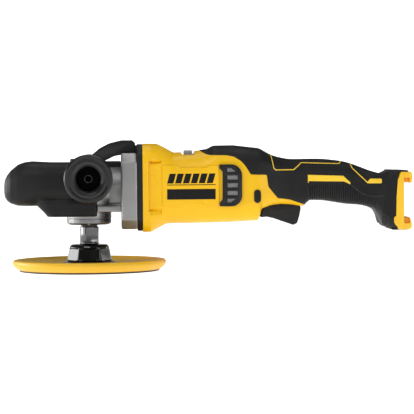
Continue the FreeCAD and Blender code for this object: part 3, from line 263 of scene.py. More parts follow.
def dress(obj, paint, body="tool", crease=40, slot=None, node=None):
    """Shade and paint a finished piece, hang it on its body and hide the CAD node it stands for.

    Unless it is given, the node is named like the piece. The slot is not used."""
    mesh = obj.data
    mesh.materials.clear()
    mesh.materials.append(PAINTS[paint])
    mesh.polygons.foreach_set("use_smooth", [True] * len(mesh.polygons))
    mesh.polygons.foreach_set("material_index", [0] * len(mesh.polygons))
    mesh.set_sharp_from_angle(angle=math.radians(crease))
    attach(obj, body)
    node = node or obj.name.split(".")[0]
    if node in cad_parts:
        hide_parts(node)
    slot = slot or paint


# ---------------------------------------------------------------- materials

class Paint:
    """Small builder for procedural materials in object space."""

    def __init__(self, name, colour, roughness, metal=0.0):
        self.material = bpy.data.materials.new(name)
        self.material.use_nodes = True
        self.tree = self.material.node_tree
        self.shader = self.tree.nodes["Principled BSDF"].inputs
        self.shader["Metallic"].default_value = metal
        self.space = self.node("ShaderNodeTexCoord")["Object"]
        self.roughness = roughness
        self.linked = {}
        base = self.node("ShaderNodeRGB")["Color"]
        base.default_value = (*colour, 1)
        self.linked["Base Color"] = base

    def node(self, kind, sockets=None, **settings):
        """New node; sockets gives its inputs by name or number, as values or as links."""
        made = self.tree.nodes.new(kind)
        for key, setting in settings.items():
            setattr(made, key, setting)
        for key, value in (sockets or {}).items():
            if isinstance(value, bpy.types.NodeSocket):
                self.tree.links.new(value, made.inputs[key])
            else:
                made.inputs[key].default_value = value
        return made.outputs

    def ramp(self, value, low=0.0, high=1.0, start=0.0, end=1.0):
        """Map the range from low to high onto the range from start to end."""
        limits = {"From Min": low, "From Max": high, "To Min": start, "To Max": end}
        return self.node("ShaderNodeMapRange", {"Value": value, **limits})["Result"]

    def noise(self, scale, detail=4, low=0.35, high=0.65, stretch=(1, 1, 1)):
        """Noise between 0 and 1, with features of about 1 / scale metres."""
        place = self.node("ShaderNodeMapping", {"Vector": self.space, "Scale": stretch})["Vector"]
        made = self.node("ShaderNodeTexNoise", {"Vector": place, "Scale": scale, "Detail": detail})
        return self.ramp(made["Fac"], low, high)

    def cells(self, scale):
        """Pebbles: 0 in the middle of a cell, 1 towards its border."""
        made = self.node("ShaderNodeTexVoronoi", {"Vector": self.space, "Scale": scale})
        return self.ramp(made["Distance"], high=0.6)

    def edges(self, low=0.53, high=0.62):
        """1 on sharp outer edges, 0 elsewhere."""
        return self.ramp(self.node("ShaderNodeNewGeometry")["Pointiness"], low, high)

    def blend(self, factor, colour, strength=1.0):
        """Blend the base colour towards another where factor is high."""
        share = self.node("ShaderNodeMath", {0: factor, 1: strength}, operation="MULTIPLY",
                          use_clamp=True)[0]
        mixed = {0: share, 6: self.linked["Base Color"], 7: (*colour, 1)}
        self.linked["Base Color"] = self.node("ShaderNodeMix", mixed, data_type="RGBA")[2]

    def vary(self, factor, spread):
        """Roughness moves from base - spread to base + spread."""
        least, most = max(self.roughness - spread, 0.02), min(self.roughness + spread, 1)
        self.linked["Roughness"] = self.ramp(factor, start=least, end=most)

    def bump(self, factor, depth):
        """Raise the surface by depth millimetres where factor is 1."""
        sockets = {"Distance": depth * MM, "Height": factor}
        if "Normal" in self.linked:
            sockets["Normal"] = self.linked["Normal"]
        self.linked["Normal"] = self.node("ShaderNodeBump", sockets)[0]

    def done(self, **constants):
        """Finished material; constants are set on the shader itself."""
        for key, value in constants.items():
            self.shader[key.replace("_", " ")].default_value = value
        for key, socket in self.linked.items():
            self.tree.links.new(socket, self.shader[key])
        return self.material


def scaled(colour, factor):
    """Colour made darker or lighter."""
    return tuple(c * factor for c in colour)


def moulded(name, colour, roughness, grain=900, depth=0.03, wear=0.25, gloss=0.4, coat=0.0):
    """Moulded plastic: fine spark-eroded grain, uneven sheen, faint dust and rubbed edges."""
    paint = Paint(name, colour, roughness)
    paint.blend(paint.noise(28, 3, 0.4, 0.75), scaled(colour, 0.82), 0.25)
    paint.blend(paint.edges(0.53, 0.66), tuple(c + (1 - c) * 0.25 for c in colour), wear)
    paint.vary(paint.noise(60, 5), 0.09)
    paint.bump(paint.noise(grain, 2, 0.3, 0.7), depth)
    paint.bump(paint.noise(45, 2, 0.3, 0.7), 0.02)
    shine = {"Coat_Weight": coat, "Coat_Roughness": 0.08} if coat else {}
    return paint.done(Specular_IOR_Level=gloss, **shine)


def rubbery(name, colour, roughness, grain, depth):
    """Soft moulded rubber with a pebbled grain and dust held in it."""
    paint = Paint(name, colour, roughness)
    paint.blend(paint.noise(22, 4, 0.45, 0.8), (0.028, 0.027, 0.026), 0.35)
    # lighter edges and rib crests: rubbed wear, strengthened as a painted highlight on the ribs
    paint.blend(paint.edges(0.51, 0.6), (0.06, 0.06, 0.06), 0.6)
    paint.vary(paint.noise(35, 5), 0.1)
    paint.bump(paint.cells(grain), depth)
    paint.bump(paint.noise(70, 3, 0.3, 0.7), 0.03)
    return paint.done(Specular_IOR_Level=0.2)


def metal(name, colour, roughness, stretch=(1, 1, 1), scratch=0.012, stain=0.25):
    """Machined metal with fine tool marks, small stains and bright edges."""
    paint = Paint(name, colour, roughness, metal=1.0)
    paint.blend(paint.noise(30, 5, 0.5, 0.8), scaled(colour, 0.55), stain)
    paint.blend(paint.edges(), (0.95, 0.95, 0.95), 0.4)
    paint.vary(paint.noise(90, 5, stretch=stretch), 0.08)
    paint.bump(paint.noise(420, 3, 0.3, 0.7, stretch=stretch), scratch)
    return paint.done()


def cast(name, colour):
    """Sand-blasted die casting."""
    paint = Paint(name, colour, 0.42, metal=0.75)
    paint.blend(paint.noise(40, 6, 0.45, 0.8), scaled(colour, 0.7), 0.35)
    paint.blend(paint.edges(), (0.8, 0.8, 0.8), 0.35)
    paint.vary(paint.noise(50, 5), 0.1)
    paint.bump(paint.noise(1100, 3, 0.3, 0.7), 0.05)
    paint.bump(paint.noise(120, 2, 0.3, 0.7), 0.05)
    return paint.done()


def hook_fabric(name, colour):
    """Hook fabric on the working face."""
    paint = Paint(name, colour, 0.85)
    paint.blend(paint.noise(900, 2, 0.45, 0.7), (0.09, 0.09, 0.09), 0.6)
    paint.vary(paint.noise(300, 3), 0.1)
    paint.bump(paint.cells(1500), 0.3)
    return paint.done(Sheen_Weight=0.4, Sheen_Roughness=0.5)


def circuit(name, colour):
    """Lacquered board with pale tracks."""
    paint = Paint(name, colour, 0.35)
    paint.blend(paint.noise(500, 1, 0.55, 0.56, (1, 0.2, 1)), (0.35, 0.28, 0.1), 0.6)
    paint.vary(paint.noise(200, 2), 0.1)
    paint.bump(paint.noise(600, 1, 0.5, 0.52), 0.04)
    return paint.done()


# how each paint is made: its kind, colour, roughness and whatever differs from that kind's usual
RECIPES = {
    "urethane": (moulded, (0.79, 0.46, 0.018), 0.42, 700, 0.05, 0.1),
    "hub_plastic": (moulded, (0.004, 0.004, 0.004), 0.12, 600, 0.004, 0.02, 0.3, 0.4),
    "collar_plastic": (moulded, (0.010, 0.010, 0.011), 0.3, 900, 0.02, 0.05, 0.45),
    "inner_plastic": (moulded, (0.02, 0.02, 0.02), 0.5, 900, 0.03, 0.25, 0.3),
    "baffle_plastic": (moulded, (0.010, 0.010, 0.011), 0.5, 800, 0.04, 0.05, 0.25),
    "housing_plastic": (moulded, (0.90, 0.52, 0.006), 0.36, 1000, 0.03, 0.15, 0.3),
    "vent_plastic": (moulded, (0.011, 0.011, 0.013), 0.4, 900, 0.03, 0.05, 0.25),
    "label_film": (moulded, (0.006, 0.006, 0.006), 0.35, 500, 0.006, 0.0, 0.2),
    "dial_plastic": (moulded, (0.36, 0.35, 0.34), 0.45),
    "trigger_plastic": (moulded, (0.011, 0.011, 0.011), 0.36, 900, 0.03, 0.05, 0.25),
    "button_plastic": (moulded, (0.011, 0.011, 0.011), 0.4, 900, 0.03, 0.25, 0.25),
    "receiver_plastic": (moulded, (0.94, 0.56, 0.02), 0.38, 900, 0.03, 0.15),
    # darker orange copy of the receiver yellow: painted shade for the hook recesses
    "receiver_lip": (moulded, (0.90, 0.33, 0.01), 0.42),
    "terminal_plastic": (moulded, (0.03, 0.03, 0.03), 0.45),
    "fan_plastic": (moulded, (0.06, 0.06, 0.06), 0.45),
    "accent_yellow": (moulded, (0.95, 0.62, 0.03), 0.42, 900, 0.02, 0.1),
    # near-black with almost no gloss: painted shade, used for the deep handle sockets and the space
    # behind the vent wire
    "socket_black": (moulded, (0.002, 0.002, 0.002), 0.8, 900, 0.03, 0.0, 0.03),
    "cover_rubber": (rubbery, (0.010, 0.010, 0.0105), 0.5, 1300, 0.06),
    "grip_rubber": (rubbery, (0.010, 0.010, 0.0105), 0.52, 1500, 0.05),
    "polished_steel": (metal, (0.11, 0.11, 0.112), 0.1, (1, 1, 6), 0.006, 0.1),
    "gear_steel": (metal, (0.42, 0.41, 0.4), 0.34),
    "bearing_steel": (metal, (0.72, 0.72, 0.74), 0.16),
    "machined_cap": (metal, (0.21, 0.21, 0.21), 0.3, (1, 1, 8)),
    "screw_steel": (metal, (0.25, 0.25, 0.26), 0.3),
    "spring_steel": (metal, (0.6, 0.6, 0.62), 0.25),
    "vent_mesh": (metal, (0.08, 0.083, 0.08), 0.4),
    "terminal_brass": (metal, (0.75, 0.53, 0.22), 0.25),
    "stator_steel": (metal, (0.3, 0.3, 0.31), 0.4, (12, 1, 1)),
    "winding_wire": (metal, (0.66, 0.24, 0.08), 0.28, (1, 14, 14), 0.1),
    "rotor_steel": (metal, (0.4, 0.4, 0.42), 0.35, (12, 1, 1)),
    "cast_case": (cast, (0.29, 0.29, 0.29)),
    "hook_fabric": (hook_fabric, (0.02, 0.02, 0.022)),
    "circuit_board": (circuit, (0.01, 0.09, 0.04)),
}
PAINTS = {name: kind(name, *settings) for name, (kind, *settings) in RECIPES.items()}


# ---------------------------------------------------------------- skin of the housing and handle

# x, underside, top, half width, corner radius
HOUSING_STATIONS = [
    (62.5, 45.4, 147.2, 43, 20), (72, 45.4, 147.2, 43, 20), (80, 49.5, 147, 39.6, 22),
    (84, 51.5, 145.6, 37, 23), (90, 54.6, 142.2, 37, 24), (99, 54.7, 137.2, 37, 26),
    (106, 54.8, 137.4, 37, 26), (124, 55, 139, 37, 26), (138, 55.2, 140.6, 37, 25),
    (146, 55.3, 144.7, 37, 24), (168, 55.8, 144.9, 37, 24), (197.5, 57.5, 141.4, 37, 22),
    (200.5, 71, 140, 35.6, 18), (212, 75, 133.3, 31, 16), (223, 76.2, 130, 26.5, 16),
    (235, 75.2, 127.8, 23.2, 16), (250, 72, 128.2, 20.5, 15), (256, 80.2, 128.3, 20, 14),
    (274, 79.6, 128.2, 19.5, 14), (300, 75.2, 124.9, 19.5, 14), (318, 74, 118.2, 20.5, 14),
    (328, 71.4, 113.8, 23, 14), (337, 66, 111.4, 31, 14), (339, 57, 110.6, 33, 14),
    (343, 49.5, 110.2, 36, 13), (350.5, 46.8, 114.4, 37, 12), (358.5, 45.7, 114.8, 37.4, 12)]
# lower edge of the rubber on the flank, x and height
RUBBER_EDGE = [
    (129.5, 139.3), (132, 137.6), (134.9, 135.9), (140, 134.2), (160, 133.7), (168.1, 132.1),
    (176.1, 127), (181.1, 121.4), (185, 115.3), (187.2, 111.1), (206.5, 110.5), (207.6, 97.2),
    (219.4, 82.9), (233, 81.2), (250.6, 75.2), (262, 108), (300, 106), (320, 98), (358.5, 92)]
# a second line that the mesh follows: slot under the collar block, then top of the ribbed grip
LOWER_LINE = [
    (62.5, 69.7), (190, 69.7), (197, 70), (201, 77), (219.4, 79), (233, 78.8), (250, 73.8),
    (256, 98), (262, 101.3), (297, 100.8), (305.3, 98.2), (311.7, 93.3), (318, 88.7),
    (324.5, 85.4), (333, 83.9), (345, 80), (358.5, 80)]
RUBBER_FRONT, YELLOW_REAR = RUBBER_EDGE[0][0], 250.6
RIBS = (256.5, 334.5)
RIB_PITCH = 2.6
RUBBER_DEPTH = 1.6


def blur(x, values, widths):
    """Gaussian average whose width changes along x."""
    result = np.empty_like(values)
    for index, (here, width) in enumerate(zip(x, widths)):
        near = np.abs(x - here) < 3 * width + 0.01
        weight = np.exp(-((x[near] - here) / width) ** 2 / 2)
        result[index] = np.sum(values[near] * weight) / np.sum(weight)
    return result


class Skin:
    """Rounded-rectangle sections along X, blended smoothly between stations."""

    def __init__(self, stations, softness):
        table = np.array(stations, float)
        self.x = np.arange(table[0, 0], table[-1, 0] + 0.25, 0.5)
        self.rows = []
        for column, soft in zip(table.T[1:], softness):
            plain = np.interp(self.x, table[:, 0], column)
            self.rows.append(blur(self.x, plain, np.interp(self.x, *zip(*soft))))

    def at(self, x):
        """Underside, top, half width and corner radius at x."""
        return [float(np.interp(x, self.x, row)) for row in self.rows]

    def lengths(self, x):
        """Distances round the half section at which its five parts end."""
        low, high, half, radius = self.at(x)
        arc = math.pi / 2 * radius
        parts = (half - radius, arc, high - low - 2 * radius, arc, half - radius)
        return np.cumsum(parts)

    def reach(self, x, z):
        """Distance round the half section from the keel up to height z on the flank."""
        low, high, _, radius = self.at(x)
        ends = self.lengths(x)
        z = min(max(z, low + 0.01), high - 0.01)
        if z < low + radius:
            return ends[0] + radius * math.acos(1 - (z - low) / radius)
        if z > high - radius:
            return ends[2] + radius * math.asin((z - high + radius) / radius)
        return ends[1] + z - low - radius

    def section(self, x, reach, depth=0.0):
        """Points and outward normals (y, z) at distances round the half section."""
        low, high, half, radius = self.at(x)
        one, two, three, four, _ = self.lengths(x)
        t = np.asarray(reach, float)
        flat = half - radius
        lower, upper = np.clip((t - one) / radius, 0, math.pi / 2), (t - three) / radius
        parts = [t < one, t < two, t < three, t < four]
        ny = np.select(parts, [0 * t, np.sin(lower), 1 + 0 * t, np.cos(upper)], 0)
        nz = np.select(parts, [0 * t - 1, -np.cos(lower), 0 * t, np.sin(upper)], 1)
        y = np.select(parts, [t, flat + radius * ny, half + 0 * t, flat + radius * ny],
                      flat - (t - four))
        z = np.select(parts, [low + 0 * t, low + radius + radius * nz, low + radius + t - two,
                              high - radius + radius * nz], high)
        return np.stack((y - depth * ny, z - depth * nz), -1), np.stack((ny, nz), -1)


SHARP, SOFT = 1.1, 6
SKIN = Skin(HOUSING_STATIONS, [
    [(62, SHARP), (240, SHARP), (262, 3), (320, 3), (358, 1.5)],
    [(62, 1.6), (132, 1.6), (142, 0.8), (204, 0.9), (222, SOFT), (322, SOFT), (340, 2), (358, SHARP)],
    [(62, 1.5), (196, 2), (212, 5), (322, 5), (358, 2)],
    [(62, 2), (358, 3)]])


def line_reach(line, x, soft=0.4):
    """Smoothed distance round the section at which the skin meets a line on the flank."""
    near = x + np.linspace(-1.5, 1.5, 7) * soft
    near = np.clip(near, SKIN.x[0], SKIN.x[-1])
    heights = np.interp(near, *zip(*line))
    return float(np.mean([SKIN.reach(n, z) for n, z in zip(near, heights)]))


def step(value, low, high):
    """Smooth step from 0 at low to 1 at high."""
    t = np.clip((np.asarray(value, float) - low) / (high - low), 0, 1)
    return t * t * (3 - 2 * t)


def between(value, low, high, soft):
    """1 from low to high, with a soft fall to 0 on both sides."""
    return step(value, low - soft, low) * (1 - step(value, high, high + soft))


def yellow_depth(x, y, z):
    """How far the plastic lies below the plain skin: collar pockets and the scoop at the dial."""
    half = SKIN.at(x)[2]
    pocket = max(half - 37.8, 0) * between(x, 69.6, 84, 0.8) * between(z, 70.5, 127, 1.2)
    slots = between(z, 68.2, 70.6, 0.6) + between(z, 125.2, 127.2, 0.6)
    slots = 2.6 * slots * between(x, 71, 83.5, 0.8)
    block = -0.7 * between(x, 64, 83.8, 0.8) * step(z, 135, 136) * (y > 20)
    scoop = np.maximum(z - 134.6, 0) * 1.1 * between(x, DIAL[0][0] - 1.6, DIAL[1][0] + 1.4, 1.6)
    return pocket + slots + block + scoop


def rubber_depth(x, z, x_gap, t_gap):
    """Rubber stands a little proud, rounds off at its edges and is ribbed under the handle."""
    gap = np.minimum(x_gap, t_gap)
    edge = 0.85 * np.exp(-np.maximum(gap, 0) / 0.55)
    top = np.interp(x, *zip(*LOWER_LINE))
    wave = 0.5 - 0.5 * math.cos(2 * math.pi * (x - RIBS[0]) / RIB_PITCH)
    below = 1 - step(z, top - 1.6, top - 0.6)
    ribs = (0.2 + 0.95 * wave) * below * between(x, RIBS[0] + 0.6, RIBS[1] - 0.6, 0.6)
    return -0.3 + edge + ribs


def spread(start, stop, count, first=(), last=()):
    """Distances from start to stop, with fixed small steps at the two ends."""
    scale = min(1.0, (stop - start) / 8)
    head = [start + step_size * scale for step_size in first]
    tail = [stop - step_size * scale for step_size in reversed(last)]
    return head + list(np.linspace(head[-1], tail[0], count + 2)[1:-1]) + tail


def columns(start, stop):
    """Column places along the tool, closer together where there is detail."""
    zones = [(62.5, 90, 0.8), (90, 108, 1.2), (108, 126, 0.6), (126, 196, 1.5),
             (196, 202.5, 0.5), (202.5, RIBS[0], 1.2), (RIBS[0], RIBS[1], RIB_PITCH / 4),
             (RIBS[1], 358.5, 1.0)]
    spots = [start, stop]
    for low, high, pitch in zones:
        low, high = max(low, start), min(high, stop)
        if high > low:
            spots += list(np.linspace(low, high, max(int((high - low) / pitch), 1) + 1))
    for edge in (RUBBER_FRONT, 206.6, 207.4, YELLOW_REAR):
        spots += [s for s in (edge, edge + 0.06, edge - 0.4, edge + 0.4, edge + 0.9)
                  if start <= s <= stop]
    spots = np.unique(np.round(spots, 3))
    keep = np.concatenate(([True], np.diff(spots) > 0.055))
    return spots[keep]


def rows(x):
    """Row distances round the section at x, and how many lie at or below the rubber's edge."""
    end = SKIN.lengths(x)[-1]
    lower = line_reach(LOWER_LINE, x)
    edge = max(line_reach(RUBBER_EDGE, x), lower + 0.8)
    edge = min(edge, end - 1.5)
    one = spread(0, lower, 16, (0, 0.35), (0, 0.6, 1.3))
    two = spread(lower, edge, 30, (0.5, 1.1), (0, 0.35, 0.8))
    three = spread(edge, end, 30, (0.05, 0.4, 0.9, 1.5), (0, 0.35))
    return np.array(one + two + three), len(one) + len(two), edge


def seam(t, end):
    """Fine groove where the two halves meet."""
    return 0.3 * (1 - step(np.minimum(t, end - t), 0.05, 0.5))


def shell_solid(name, side, grid, wall):
    """Closed shell from outer and inner sheets of points, [column][row]."""
    outer, inner = (np.asarray(sheet, float) for sheet in (grid, wall))
    count, size = outer.shape[:2]
    verts = np.concatenate((outer.reshape(-1, 3), inner.reshape(-1, 3)))
    verts[:, 1] *= side
    shift = count * size
    faces = grid_faces(count, size)
    faces += [tuple(shift + i for i in reversed(face)) for face in grid_faces(count, size)]
    for c in range(count - 1):
        for r in (0, size - 1):
            a, b = c * size + r, (c + 1) * size + r
            faces.append((a, b, shift + b, shift + a))
    for r in range(size - 1):
        for c in (0, count - 1):
            a, b = c * size + r, c * size + r + 1
            faces.append((a, b, shift + b, shift + a))
    return raw(name, verts, faces)


def housing_shell(side):
    """Yellow half shell; under the rubber it lies one skin deeper."""
    outer, inner = [], []
    for x in columns(SKIN.x[0], SKIN.x[-1]):
        t, split, _ = rows(x)
        end = t[-1]
        points, _ = SKIN.section(x, t)
        depth = yellow_depth(x, points[:, 0], points[:, 1])
        covered = (np.arange(len(t)) >= split) & (x > RUBBER_FRONT + 0.03)
        if x > YELLOW_REAR + 0.03:
            covered[:] = True
        lip = 0.4 * np.exp(-np.maximum(t[split - 1] - t, 0) / 0.3) * (x > RUBBER_FRONT - 0.5)
        depth = np.where(covered, RUBBER_DEPTH, depth + lip + seam(t, end))
        points, _ = SKIN.section(x, t, depth)
        outer.append([(x, y, z) for y, z in points])
        points, _ = SKIN.section(x, t, np.maximum(depth + 1.8, 3.4))
        inner.append([(x, max(y, 0), z) for y, z in points])
    return shell_solid("housing", side, outer, inner)


def rubber_shell(side):
    """Rubber moulded over the back of the motor housing and the whole handle."""
    outer, inner = [], []
    for x in columns(RUBBER_FRONT, SKIN.x[-1]):
        t, split, edge = rows(x)
        whole = x > YELLOW_REAR
        points, _ = SKIN.section(x, t)
        t_gap = t - edge if not whole else np.full(len(t), x - YELLOW_REAR) + (t > edge) * 50
        x_gap = min(x - RUBBER_FRONT, SKIN.x[-1] - x + 0.4)
        depth = rubber_depth(x, points[:, 1], x_gap, t_gap) + seam(t, t[-1])
        points, _ = SKIN.section(x, t, depth)
        under, _ = SKIN.section(x, t, RUBBER_DEPTH - 0.05)
        if not whole:
            points[:split] = points[split]
            under[:split] = under[split]
        outer.append([(x, y, z) for y, z in points])
        inner.append([(x, max(y, 0), z) for y, z in under])
    return shell_solid("grip_overmould", side, outer, inner)


# ---------------------------------------------------------------- things laid on the skin

def on_skin(x, z, side, lift=0.0):
    """Point on the plain skin at x and height z, lifted along the normal."""
    (point,), (normal,) = SKIN.section(x, [SKIN.reach(x, z)], -lift)
    return np.array((x, side * point[0], point[1])), np.array((0, side * normal[0], normal[1]))


def resample(path, pitch):
    """Points at about even spacing along a polyline, its corners kept."""
    path = np.asarray(path, float)
    result = [path[0]]
    for start, end in zip(path, path[1:]):
        count = max(int(np.linalg.norm(end - start) / pitch), 1)
        result += [start + (end - start) * i / count for i in range(1, count + 1)]
    return np.array(result)


def ribbon(name, path, width, side, lift=0.55, base=-0.6):
    """Narrow inlay with rounded edges along a path of (x, z) on the flank."""
    path = resample(rounded([(*p, 1.5) for p in path], closed=False), 0.8)
    spots = [on_skin(x, z, side) for x, z in path]
    points = np.array([point for point, _ in spots])
    normals = np.array([normal for _, normal in spots])
    along = np.gradient(points, axis=0)
    across = np.cross(normals, along)
    across /= np.linalg.norm(across, axis=1)[:, None]
    half = width / 2
    outline = [(-half, base), (-half, lift - 0.15), (-half + 0.2, lift), (half - 0.2, lift),
               (half, lift - 0.15), (half, base)]
    rings = [[p + a * u + n * v for u, v in outline] for p, a, n in zip(points, across, normals)]
    return tube_solid(name, rings)


def patch(name, lower, upper, side, lift, base=-0.8, edge=0.5, pitch=2.0, slope=0.45):
    """Raised or inlaid plate between a lower and an upper line of (x, z) on the flank."""
    start, end = lower[0][0], lower[-1][0]
    marks = sorted({p[0] for p in lower + upper} | {start + edge, end - edge})
    spots = sorted({round(float(v), 3) for v in resample([(m, 0) for m in marks], pitch)[:, 0]})
    sheet = []
    for x in spots:
        low, high = (float(np.interp(x, *zip(*line))) for line in (lower, upper))
        inset = min(edge, (high - low) / 3)
        heights = [low, low + inset * 0.3, low + inset]
        count = max(int((high - low) / pitch), 1)
        heights += list(np.linspace(low + inset, high - inset, count + 2)[1:-1])
        heights += [high - inset, high - inset * 0.3, high]
        sheet.append((x, heights))
    size = max(len(heights) for _, heights in sheet)
    rings = []
    for x, heights in sheet:
        middle = np.interp(np.linspace(3, len(heights) - 4, size - 6), range(len(heights)), heights)
        heights = heights[:3] + list(middle) + heights[-3:]
        end_fall = slope * lift * (x in (spots[0], spots[-1]))
        falls = [slope * lift, 0.6 * slope * lift, 0]
        falls = falls + [0] * (size - 6) + falls[::-1]
        top = [on_skin(x, z, side, lift - max(fall, end_fall))[0] for z, fall in zip(heights, falls)]
        below = [on_skin(x, z, side, base)[0] for z in (heights[-1], heights[0])]
        rings.append(top + below)
    return tube_solid(name, rings)


def node_points(name):
    """Corners of a CAD node's mesh, in millimetres."""
    return np.array([vertex.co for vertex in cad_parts[name].data.vertices]) / MM


# vertices nearer to one another than this, in the side view, belong to one screw
SCREW_REACH = 8
# lowest and highest corner of the opening for the battery terminals
TERMINAL_WINDOW = ((345, -22, 62), (365, 22, 96))


def screw_spots():
    """Axis (x, z) and head height of each screw that joins the two halves."""
    points = node_points("housing_screws")
    spots = []
    for x, _, z in points:
        if not any(math.hypot(x - a, z - b) < SCREW_REACH for a, b in spots):
            spots.append((x, z))
    for a, b in spots:
        near = points[np.hypot(points[:, 0] - a, points[:, 2] - b) < SCREW_REACH]
        centre = (near.min(0) + near.max(0)) / 2
        yield centre[0], centre[2], near[:, 1].max()


def vent_opening():
    """Opening behind the vent shield, its rear corners cut off to stay under the shield."""
    (left, _, low), (right, _, high) = MESH
    return [(left, low), (right - 6, low), (right + 1.5, low + 11), (right + 1.5, high - 11),
            (right - 6, high), (left, high)]


def shell_cuts(side):
    """Openings of one housing half: vent, trigger, dial, battery terminals, screws and lock."""
    half = (TRIGGER[1][1] - TRIGGER[0][1]) / 2 + 0.7
    tools = [slab("tool", vent_opening(), side * 30, side * 45),
             box_tool((199.6, -half, 40), (TRIGGER[1][0] + 3, half, TRIGGER[1][2] - 2)),
             box_tool((DIAL[0][0] - 0.5, -10.5, 131), (DIAL[1][0] + 0.5, 10.5, 150)),
             box_tool(*TERMINAL_WINDOW)]
    if side == RIGHT:
        tools += [rod(3.6, head - 3, 60, segments=24, centre=(x, 0, z), axis="y")
                  for x, z, head in screw_spots()]
    else:
        middle, size = (LOCK[0] + LOCK[1]) / 2, LOCK[1] - LOCK[0] + 0.8
        tools.append(slab("tool", pill_outline(middle[0], middle[2], size[0], size[2]), -50, -25))
    return tools


# ---------------------------------------------------------------- housing

# raised panel round the label: lower and upper line
LABEL_PANEL = ([(83.9, 75.1), (108.2, 74.9), (110.2, 78.3), (132.4, 78.2), (134.3, 74.7),
                (151.5, 74.6)],
               [(83.9, 123.3), (103.6, 123.2), (106.6, 120.6), (136.8, 120.5), (139.8, 122.9),
                (151.5, 122.8)])
# yellow lines let into the grip: path and width
ACCENT_LINES = [
    ([(211.5, 133.2), (214.5, 118.3), (216.6, 116), (238.4, 116), (247.6, 123.9), (291.8, 122.4),
      (293.5, 123.6), (293.7, 126)], 1.1),
    ([(305.3, 123.2), (305.5, 120.9), (307.3, 116.8), (324.8, 99.9), (328, 99.9)], 1.1),
    ([(255.4, 109), (255.4, 100.6)], 0.9)]
# blank plate and tab on the grip: lower line, upper line and height above the skin
ACCENT_PLATES = [
    ([(254.9, 102.6), (297.1, 101.8), (304.6, 98.4)],
     [(254.9, 109.9), (296.3, 108.4), (304.6, 100.6)], 0.6),
    ([(324.6, 99.7), (325.4, 99.4), (339, 99.4), (339.9, 100.2)],
     [(324.6, 101.4), (327.4, 104.7), (339, 104.7), (339.9, 103.9)], 0.7)]
# rubber folds: below the tab, and the lanyard loop at the foot
CREASE = [(306, 97), (312, 92.4), (318, 88), (325, 85), (335, 84), (341, 85)]
LOOP = [(341.8, 53), (339.9, 61), (342.5, 63.6), (346.6, 61), (347.6, 54), (345, 50.6), (341.8, 53)]


def housing():
    """Yellow half shells, the rubber on them and the yellow inlays in the rubber."""
    for name, side in SIDES.items():
        shell = carve(housing_shell(side), shell_cuts(side))
        panel = patch("panel", *LABEL_PANEL, side, 1.4, edge=1.4, slope=1.6)
        dress(join("housing_" + name, [shell, panel]), "housing_plastic")
        rubber = carve(rubber_shell(side), shell_cuts(side))
        folds = [ribbon("crease", CREASE, 1.8, side, 0.75), ribbon("loop", LOOP, 1.6, side, 1.0)]
        dress(join("grip_overmould_" + name, [rubber] + folds), "grip_rubber")
        trims = [ribbon("line", path, width, side) for path, width in ACCENT_LINES]
        trims += [patch("plate", low, high, side, lift, pitch=1.2)
                  for low, high, lift in ACCENT_PLATES]
        dress(join("grip_accents_" + name, trims), "accent_yellow")


def label_plates():
    """Blank bar, a thin rule and a row of slanted blocks: generic marks without any lettering."""
    (left, _, low), (right, _, high) = LABEL
    under, face = 38, 38.5
    rule = high + 4.4
    count, gap, slant = 6, 1.9, 3.2
    bottom, top = rule + 2.2, rule + 13.4
    width = (right - left - slant - gap * (count - 1)) / count
    marks = [box_outline(left, right, rule, rule + 0.9)]
    for start in left + (width + gap) * np.arange(count):
        marks.append([(start, bottom), (start + width, bottom), (start + width + slant, top),
                      (start + slant, top)])
    for name, side in SIDES.items():
        bar = slab("bar", box_outline(left, right, low, high, 0.4), side * under,
                   side * (face + 0.05))
        blocks = [slab("block", mark, side * under, side * face) for mark in marks]
        dress(join("label_plate_" + name, [bar] + blocks), "label_film", node="label_plates")


# ---------------------------------------------------------------- vents, lock, dial and trigger

def vents():
    """D-shaped shield with five windows, woven wire behind it and, behind the wire, a near-black
    screen painted as the shade inside.
    """
    (front, _, low), (rear, outer, high) = VENT
    outline = rounded([
        (front, high, 0.6), (rear, high, 12.5), (rear, low, 12.5), (front, low, 0.6),
        (front, low + 4, 1), (front + 3.2, low + 8, 3), (front + 3.4, high - 8, 3),
        (front, high - 4.6, 1)], steps=8)
    left, right = MESH[0][0] + 0.5, MESH[1][0] - 0.3
    middle = (low + high) / 2
    windows = [box_outline(left, right, middle + z - 2.5, middle + z + 2.5, 0.7, 3)
               for z in (-9, 0, 9)]
    for way in (1, -1):
        near, far = middle + way * 15.4, middle + way * 19.8
        windows.append(rounded([(left, near, 0.5), (right - 2, near, 0.5), (left + 4.5, far, 0.5),
                                (left, far, 0.5)], steps=3))
    behind, pitch, thick = 36.6, 1.3, 0.5
    edge = np.array(vent_opening()[1:5])
    for name, side in SIDES.items():
        shield = slab("vent_shield_" + name, outline, side * behind, side * outer)
        carve(shield, [slab("tool", window, side * 30, side * 45) for window in windows])
        dress(bevel(shield, 0.45, 2), "vent_plastic")
        depth = side * behind
        wires = []
        for x in np.arange(MESH[0][0], edge[1, 0], pitch):
            bottom = np.interp(x, edge[:2, 0], edge[:2, 1])
            top = MESH[0][2] + MESH[1][2] - bottom
            wires.append(box_tool((x, depth - thick / 2, bottom),
                                  (x + thick, depth + thick / 2, top)))
        for z in np.arange(MESH[0][2], MESH[1][2], pitch):
            reach = np.interp(z, edge[:, 1], edge[:, 0])
            wires.append(box_tool((MESH[0][0], depth - thick, z), (reach, depth - 0.1, z + thick)))
        dress(join("vent_mesh_" + name, wires), "vent_mesh", node="vent_meshes")
        # near-black sheet behind the wire: painted shade of the space inside the housing
        screen = slab("vent_screen_" + name, vent_opening(), side * 34.6, side * 35.4)
        dress(screen, "socket_black", slot="vent_plastic")


